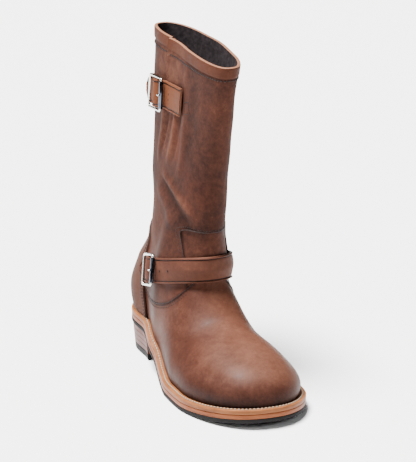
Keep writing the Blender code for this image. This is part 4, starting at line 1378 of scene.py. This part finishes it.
def tube_mesh(name, path, radius, sides, look, closed=False, plane=None):
    path = np.asarray(path)
    if closed:
        ahead = np.roll(path, -1, 0) - np.roll(path, 1, 0)
    else:
        ahead = np.gradient(path, axis=0)
    ahead /= np.linalg.norm(ahead, axis=1, keepdims=True)
    side = np.cross(ahead, plane)
    side /= np.linalg.norm(side, axis=1, keepdims=True)
    up = np.cross(side, ahead)
    turn = np.arange(sides) * 2 * np.pi / sides
    spokes = side[:, None] * np.cos(turn)[:, None] + up[:, None] * np.sin(turn)[:, None]
    rings = path[:, None] + radius * spokes
    count = len(path)
    faces = []
    for i in range(count if closed else count - 1):
        m = (i + 1) % count
        for j in range(sides):
            k = (j + 1) % sides
            faces.append((i * sides + j, i * sides + k, m * sides + k, m * sides + j))
    if not closed:
        faces.append(tuple(range(sides)))
        faces.append(tuple(range((count - 1) * sides, count * sides)))
    return mesh_object(name, rings, faces, look)


# Room at each side of the strap inside the buckle
BUCKLE_CLEARANCE = 0.0010
# Outer face of the roller, as shares of its half length and radius
ROLLER_PROFILE = ((-1, 0.86), (-0.985, 0.95), (-0.95, 1), (0.95, 1), (0.985, 0.95), (1, 0.86))


def make_buckle(prefix, bed):
    """The frame with its centre bar, the roller in front and the prong that lies on it."""
    origin, along, across, out = bed.frame()

    def at(s, h, w=0.0):
        return origin + along * s + out * h + across * w

    half = bed.width / 2 + BUCKLE_CLEARANCE + BAR_RADIUS
    path = []
    rise = (REAR_BAR_HEIGHT - ROLLER_HEIGHT) / BUCKLE_LENGTH
    corners = ((0.0, half), (0.0, -half), (BUCKLE_LENGTH, -half), (BUCKLE_LENGTH, half))
    for quarter, (s, w) in enumerate(corners):
        towards = 1 if s == 0 else -1
        cs, cw = s + towards * BUCKLE_CORNER, w - np.sign(w) * BUCKLE_CORNER
        first = np.pi / 2 + quarter * np.pi / 2
        for i in range(9):
            turn = first + i * np.pi / 16
            s1, w1 = cs + BUCKLE_CORNER * np.cos(turn), cw + BUCKLE_CORNER * np.sin(turn)
            path.append(at(s1, ROLLER_HEIGHT + rise * s1, w1))
    ring = tube_mesh(f"{prefix}_buckle_frame", path, BAR_RADIUS, 20, NICKEL, closed=True, plane=out)
    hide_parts(f"{prefix}_buckle")
    s, h = CENTRE_BAR_AT
    level = ROLLER_HEIGHT + rise * s
    crank = half - 0.002
    bar = [at(s, level, -half), at(s, h, -crank), at(s, h, crank), at(s, level, half)]
    piece = tube_mesh(f"{prefix}_buckle_bar", bar, CENTRE_BAR_RADIUS, 14, NICKEL, plane=out)
    reach = half - BUCKLE_CORNER - GAP
    count = 28
    turn = np.arange(count) * 2 * np.pi / count
    spokes = out * np.cos(turn)[:, None] + along * np.sin(turn)[:, None]
    rings = []
    for w, r in ROLLER_PROFILE:
        rings.append(at(0, ROLLER_HEIGHT, w * reach) + r * ROLLER_RADIUS * spokes)
    for w in (reach, -reach):
        rings.append(at(0, ROLLER_HEIGHT, w) + (ROLLER_RADIUS - ROLLER_WALL) * spokes)
    faces = grid_faces(len(rings), count, True)
    last = (len(rings) - 1) * count
    faces += [(last + j, last + (j + 1) % count, (j + 1) % count, j) for j in range(count)]
    roller = mesh_object(f"{prefix}_buckle_roller", np.array(rings), faces, ROLLER_DARK_REFLECTION)
    roller.data.set_sharp_from_angle(angle=0.8)
    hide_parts(f"{prefix}_roller")
    s, h = columns(PRONG)
    even = np.linspace(s[0], s[-1], 30)
    path = [at(a, b) for a, b in zip(even, curve(even, s, h))]
    prong = tube_mesh(f"{prefix}_buckle_prong", path, PRONG_RADIUS, 12, NICKEL, plane=across)
    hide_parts(f"{prefix}_prong")


# Small holes that show: lengths along the strap from the roller, and across
INSTEP_HOLES = ((-0.0075, 0.0), (-0.0215, 0.0))
TOP_HOLES = ((-0.0130, 0.003), (-0.0130, -0.003))
# Where the instep strap and its chape end at the back seam
STRAP_SEAM_Y = -0.0245
# The box of stitches in front of the top strap, seen from the side: y and z
ANCHOR_BOX = [(-0.0665, 0.2771), (-0.0776, 0.2802), (-0.0805, 0.2690), (-0.0699, 0.2659)]


def make_straps():
    bed = StrapBed(INSTEP_SHEET, INSTEP_ROLLER_Y, INSTEP_STRAP_WIDTH)
    end = bed.along_at(STRAP_SEAM_Y, -1)
    make_strap("instep_strap_leather", "instep_strap", bed, BILLET, STRAP, start=end,
               holes=INSTEP_HOLES)
    end = bed.along_at(STRAP_SEAM_Y, 1)
    make_strap("instep_chape_leather", "instep_chape", bed, CHAPE, STRAP, stop=end)
    make_buckle("instep", bed)
    bed = StrapBed(TOP_SHEET, TOP_ROLLER_Y, TOP_STRAP_WIDTH)
    end = bed.along_at(TOP_STRAP_FRONT, 1)
    make_strap("top_strap_leather", "top_strap", bed, BILLET, TOP_STRAP, start=end,
               holes=TOP_HOLES)
    end = bed.along_at(TOP_CHAPE_BACK, 1)
    make_strap("top_chape_leather", "top_chape", bed, CHAPE, TOP_STRAP, stop=end)
    make_buckle("top", bed)


# The painted shadow line at the shaft leather's edge: its radius, and its middle over the last
SHADOW_LINE_RADIUS = 0.0006
SHADOW_LINE_LIFT = 0.0007
# Two rows of stitches inside the shaft leather's edge, up to this height
EDGE_ROW_INSETS = (0.0018, 0.0042)
EDGE_ROW_TOP = 0.093
# One row outside the window's edge, down to this height
WINDOW_ROW_OUT = 0.0020
WINDOW_ROW_LOW = 0.128


def on_leather(line, lift=0.0):
    """A line on the last laid on the leather over it, and the normals there."""
    away = out_at(line)
    height, _ = body_height(line)
    return line + away * (height + lift)[:, None], away


def seam_rows():
    """Stitches and painted shadow lines at the shaft leather's edges, a painted shadow line down
    the slit, and stitches round the strap's box.
    """
    for side, name in ((-1.0, "outer"), (1.0, "inner")):
        for n, inset in enumerate(EDGE_ROW_INSETS):
            flat = offset_line(SHAFT_EDGE_FLAT, inset)
            flat = flat[flat[:, 1] < EDGE_ROW_TOP]
            line, away = on_leather(side_points(flat, side))
            row = stitches(f"shaft_edge_stitches_{name}_{n + 1}", line, away, THREAD, EDGE_STITCH)
    flat = window_flat(grow=WINDOW_ROW_OUT)
    flat = flat[flat[:, 1] > WINDOW_ROW_LOW]
    line, away = on_leather(front_points(flat))
    row = stitches("window_stitches", line, away, THREAD, EDGE_STITCH)
    # Dark tubes along the shaft leather's edges and the window's edge: painted shadow lines
    for n, line in enumerate((*EDGE_LINES, WINDOW_LINE)):
        away = out_at(line)
        line = line + away * SHADOW_LINE_LIFT
        shadow_tube = tube_mesh(f"seam_shadow_line_{n + 1}", line, SHADOW_LINE_RADIUS, 6, SHADOW_LINE, plane=away)
    heights = np.linspace(BOOT_HEIGHT - BAND_HEIGHT - 0.001, BOOT_HEIGHT - SLIT_DEPTH, 60)
    line = side_points(np.column_stack([slit_y(heights), heights]), -1.0)
    line, away = on_leather(line, 0.0001)
    tube_mesh("slit_shadow", line, SHADOW_LINE_RADIUS, 6, SHADOW_LINE, plane=away)
    box = np.array(ANCHOR_BOX + ANCHOR_BOX[:1])
    line, away = on_leather(side_points(evened(box, 0.001), -1.0))
    row = stitches("strap_anchor_stitches", line, away, THREAD, ANCHOR_STITCH)


# Sole


def ring_solid(name, rings, look, caps=True):
    """Rings joined one to the next; the first and last are closed by a strip of cross pieces."""
    count = len(rings[0])
    faces = grid_faces(len(rings), count, True)
    if caps:
        for base in (0, (len(rings) - 1) * count):
            for j in range(count // 2 - 1):
                a, b = base + j, base + j + 1
                c, d = base + count - 2 - j, base + count - 1 - j
                faces.append((a, b, c, d) if b != c else (a, b, d))
    return mesh_object(name, np.array(rings), faces, look)


def edge_layer(name, node, look, top, bottom, extra, radius=0.0006, caps=True):
    """A layer with rounded upper and lower edges that follows the sole's curve."""
    profile = [
        (0.012, top, 0.0),
        (radius, top, 0.0),
        (0.3 * radius, top, -0.3 * radius),
        (0.0, top, -radius),
        (0.0, bottom, radius),
        (0.3 * radius, bottom, 0.3 * radius),
        (radius, bottom, 0.0),
        (0.012, bottom, 0.0),
    ]
    rings = []
    for inset, height_at, lift in profile:
        ring = margin_line(extra - inset)
        rings.append(np.column_stack([ring, height_at(ring[:, 1]) + lift]))
    obj = ring_solid(name, rings, look, caps)
    obj.data.set_sharp_from_angle(angle=1.2)
    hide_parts(node)
    return obj


def outsole_top(y):
    return sole_bottom(y) + OUTSOLE_THICKNESS


def midsole_bottom(y):
    return outsole_top(y) + 0.0001


def midsole_top(y):
    return midsole_bottom(y) + MIDSOLE_THICKNESS + 0.0002


def welt_bottom(y):
    return midsole_top(y) + 0.0002


def make_sole():
    """The three plies with their own edges, the welt's stitches and the insole's look."""
    sole = edge_layer("rubber_outsole", "outsole", RUBBER, outsole_top, sole_bottom, 0.0)
    middle = edge_layer("leather_midsole", "midsole", MIDSOLE, midsole_top, midsole_bottom, -0.0002)
    welt = edge_layer("leather_welt", "welt", WELT, welt_top, welt_bottom, 0.0, 0.0008, caps=False)
    line = margin_line(-0.0034)
    top = np.column_stack([line, welt_top(line[:, 1]) + 0.0002])
    top = np.vstack([top, top[:1]])
    top = evened(top, 0.0015)
    up = np.tile([0.0, 0.0, 1.0], (len(top), 1))
    row = stitches("welt_stitches", top, up, WELT_THREAD, WELT_STITCH, lift=0.0002)
    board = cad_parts["insole"]
    board.data.materials.clear()
    board.data.materials.append(BOARD)


HEEL_STATIONS = 35
LIFT_ROUND = 0.00015


def heel_ring(height, extra):
    """The heel's outline at a height: the sole's line cut off at the breast."""
    front = HEEL_SEAT_BACK - HEEL_BREAST
    line = margin_line(extra - 0.001)
    y, outer, inner = side_lines(line, front, HEEL_STATIONS)
    shrink = 1 - 0.05 * (1 - height / HEEL_HEIGHT)
    middle = (outer + inner) / 2
    half = (inner - outer) / 2 * shrink
    ys = front + (y - front) * shrink
    back = np.column_stack([middle - half, ys])
    rest = np.column_stack([middle + half, ys])[::-1]
    across = np.linspace(back[0], rest[-1], 12)[1:-1][::-1]
    return np.concatenate([back, rest, across])


def make_heel():
    """The stacked leather lifts over the rubber one; the last follows the outsole's underside."""
    stack = HEEL_HEIGHT - TOP_LIFT_THICKNESS - GAP
    lift = (stack - GAP * HEEL_LIFTS) / HEEL_LIFTS
    layers = [("rubber_top_lift", "top_lift", RUBBER, 0.0, TOP_LIFT_THICKNESS, "outsole_rubber")]
    z = TOP_LIFT_THICKNESS + GAP
    for i in range(HEEL_LIFTS):
        high = z + lift + 0.8 * GAP
        name = f"leather_lift_{i + 1}"
        layers.append((name, f"heel_lift_{i + 1}", HEEL, z, high, "heel_leather"))
        z += lift + GAP
    for n, (name, node, look, low, high, slot) in enumerate(layers):
        last = n == len(layers) - 1
        rings = []
        profile = [
            (LIFT_ROUND, low, 0.0),
            (0.0, low, LIFT_ROUND),
            (0.0, high, -LIFT_ROUND),
            (LIFT_ROUND, high, 0.0),
        ]
        for inset, height, rise in profile:
            ring = heel_ring(height, -inset)
            zs = np.full(len(ring), height + rise)
            if last and height == high:
                zs = sole_bottom(ring[:, 1]) - 0.0002 + rise
            rings.append(np.column_stack([ring, zs]))
        obj = ring_solid_flat(name, rings, look)
        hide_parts(node)


def ring_solid_flat(name, rings, look):
    """Rings of the heel joined one to the next, with cross pieces over the lower end."""
    count = len(rings[0])
    faces = grid_faces(len(rings), count, True)
    side = 2 * HEEL_STATIONS
    # At the upper end, hidden under the next piece, most of these faces name points past the
    # last ring, and mesh_object drops them
    for base in (0, (len(rings) - 1) * count):
        for j in range(side - 1):
            faces.append((base + j, base + j + 1, base + 2 * side - 2 - j, base + 2 * side - 1 - j))
    obj = mesh_object(name, np.array(rings), faces, look)
    obj.data.set_sharp_from_angle(angle=0.7)
    return obj


# Light, floor and camera


def aim(obj, target):
    direction = Vector(target) - obj.location
    obj.rotation_euler = direction.to_track_quat("-Z", "Y").to_euler()


def add_light(name, place, target, size, power, colour=(1, 1, 1)):
    data = bpy.data.lights.new(name, "AREA")
    data.shape = "DISK"
    data.size = size
    data.energy = power
    data.color = colour
    obj = bpy.data.objects.new(name, data)
    obj.location = place
    bpy.context.collection.objects.link(obj)
    aim(obj, target)
    return obj


def add_sun(name, place, spread, strength):
    """An even overhead light, as wide as a softbox ceiling."""
    data = bpy.data.lights.new(name, "SUN")
    data.energy = strength
    data.angle = math.radians(spread)
    obj = bpy.data.objects.new(name, data)
    obj.location = place
    bpy.context.collection.objects.link(obj)
    aim(obj, (0.0, 0.0, 0.0))
    return obj


def make_stage():
    floor = plain("pale_floor", (0.94, 0.94, 0.94, 1.0), 0.7, grain=3, depth=0.00001, vary=0.0,
                  specular=0.1)
    mesh = bpy.data.meshes.new("floor")
    mesh.from_pydata([(-9, -7, 0), (9, -7, 0), (9, 11, 0), (-9, 11, 0)], [], [(0, 1, 2, 3)])
    mesh.materials.append(floor)
    obj = bpy.data.objects.new("floor", mesh)
    bpy.context.collection.objects.link(obj)
    world = bpy.data.worlds.new("studio")
    world.use_nodes = True
    background = world.node_tree.nodes["Background"]
    background.inputs["Color"].default_value = (1.0, 1.0, 1.0, 1)
    background.inputs["Strength"].default_value = WORLD_STRENGTH
    bpy.context.scene.world = world
    middle = (0.0, -0.09, 0.12)
    lights = [
        add_sun("overhead", (-0.50, 0.22, 2.0), SUN_SPREAD, OVERHEAD_STRENGTH),
        add_light("left_fill", (-2.2, -0.7, 1.3), middle, 1.4, LEFT_POWER, (1.0, 0.985, 0.96)),
        add_light("front_fill", (1.0, -2.6, 1.9), middle, 1.0, FRONT_POWER, (0.96, 0.98, 1.0)),
    ]


WORLD_STRENGTH = 0.08
SUN_SPREAD = 24
OVERHEAD_STRENGTH = 18.5
LEFT_POWER = 16.0
FRONT_POWER = 20.0
CAMERA_AT = (-1.318, -3.866, 1.549)
CAMERA_TARGET = (0.004, -0.098, 0.152)
ZOOM = 1.2
# The photo's focal length and width in its own pixels, and the sensor's width in mm
FOCAL_PIXELS = 3570
PHOTO_WIDTH = 416
SENSOR_WIDTH = 36


def make_camera():
    data = bpy.data.cameras.new("camera")
    data.sensor_fit = "HORIZONTAL"
    data.sensor_width = SENSOR_WIDTH
    data.lens = FOCAL_PIXELS * ZOOM / PHOTO_WIDTH * SENSOR_WIDTH
    data.clip_end = 60
    obj = bpy.data.objects.new("camera", data)
    obj.location = CAMERA_AT
    bpy.context.collection.objects.link(obj)
    aim(obj, CAMERA_TARGET)
    bpy.context.scene.camera = obj


make_body()
make_counter()
make_band()
make_gusset()
make_straps()
seam_rows()
make_sole()
make_heel()
make_stage()
make_camera()
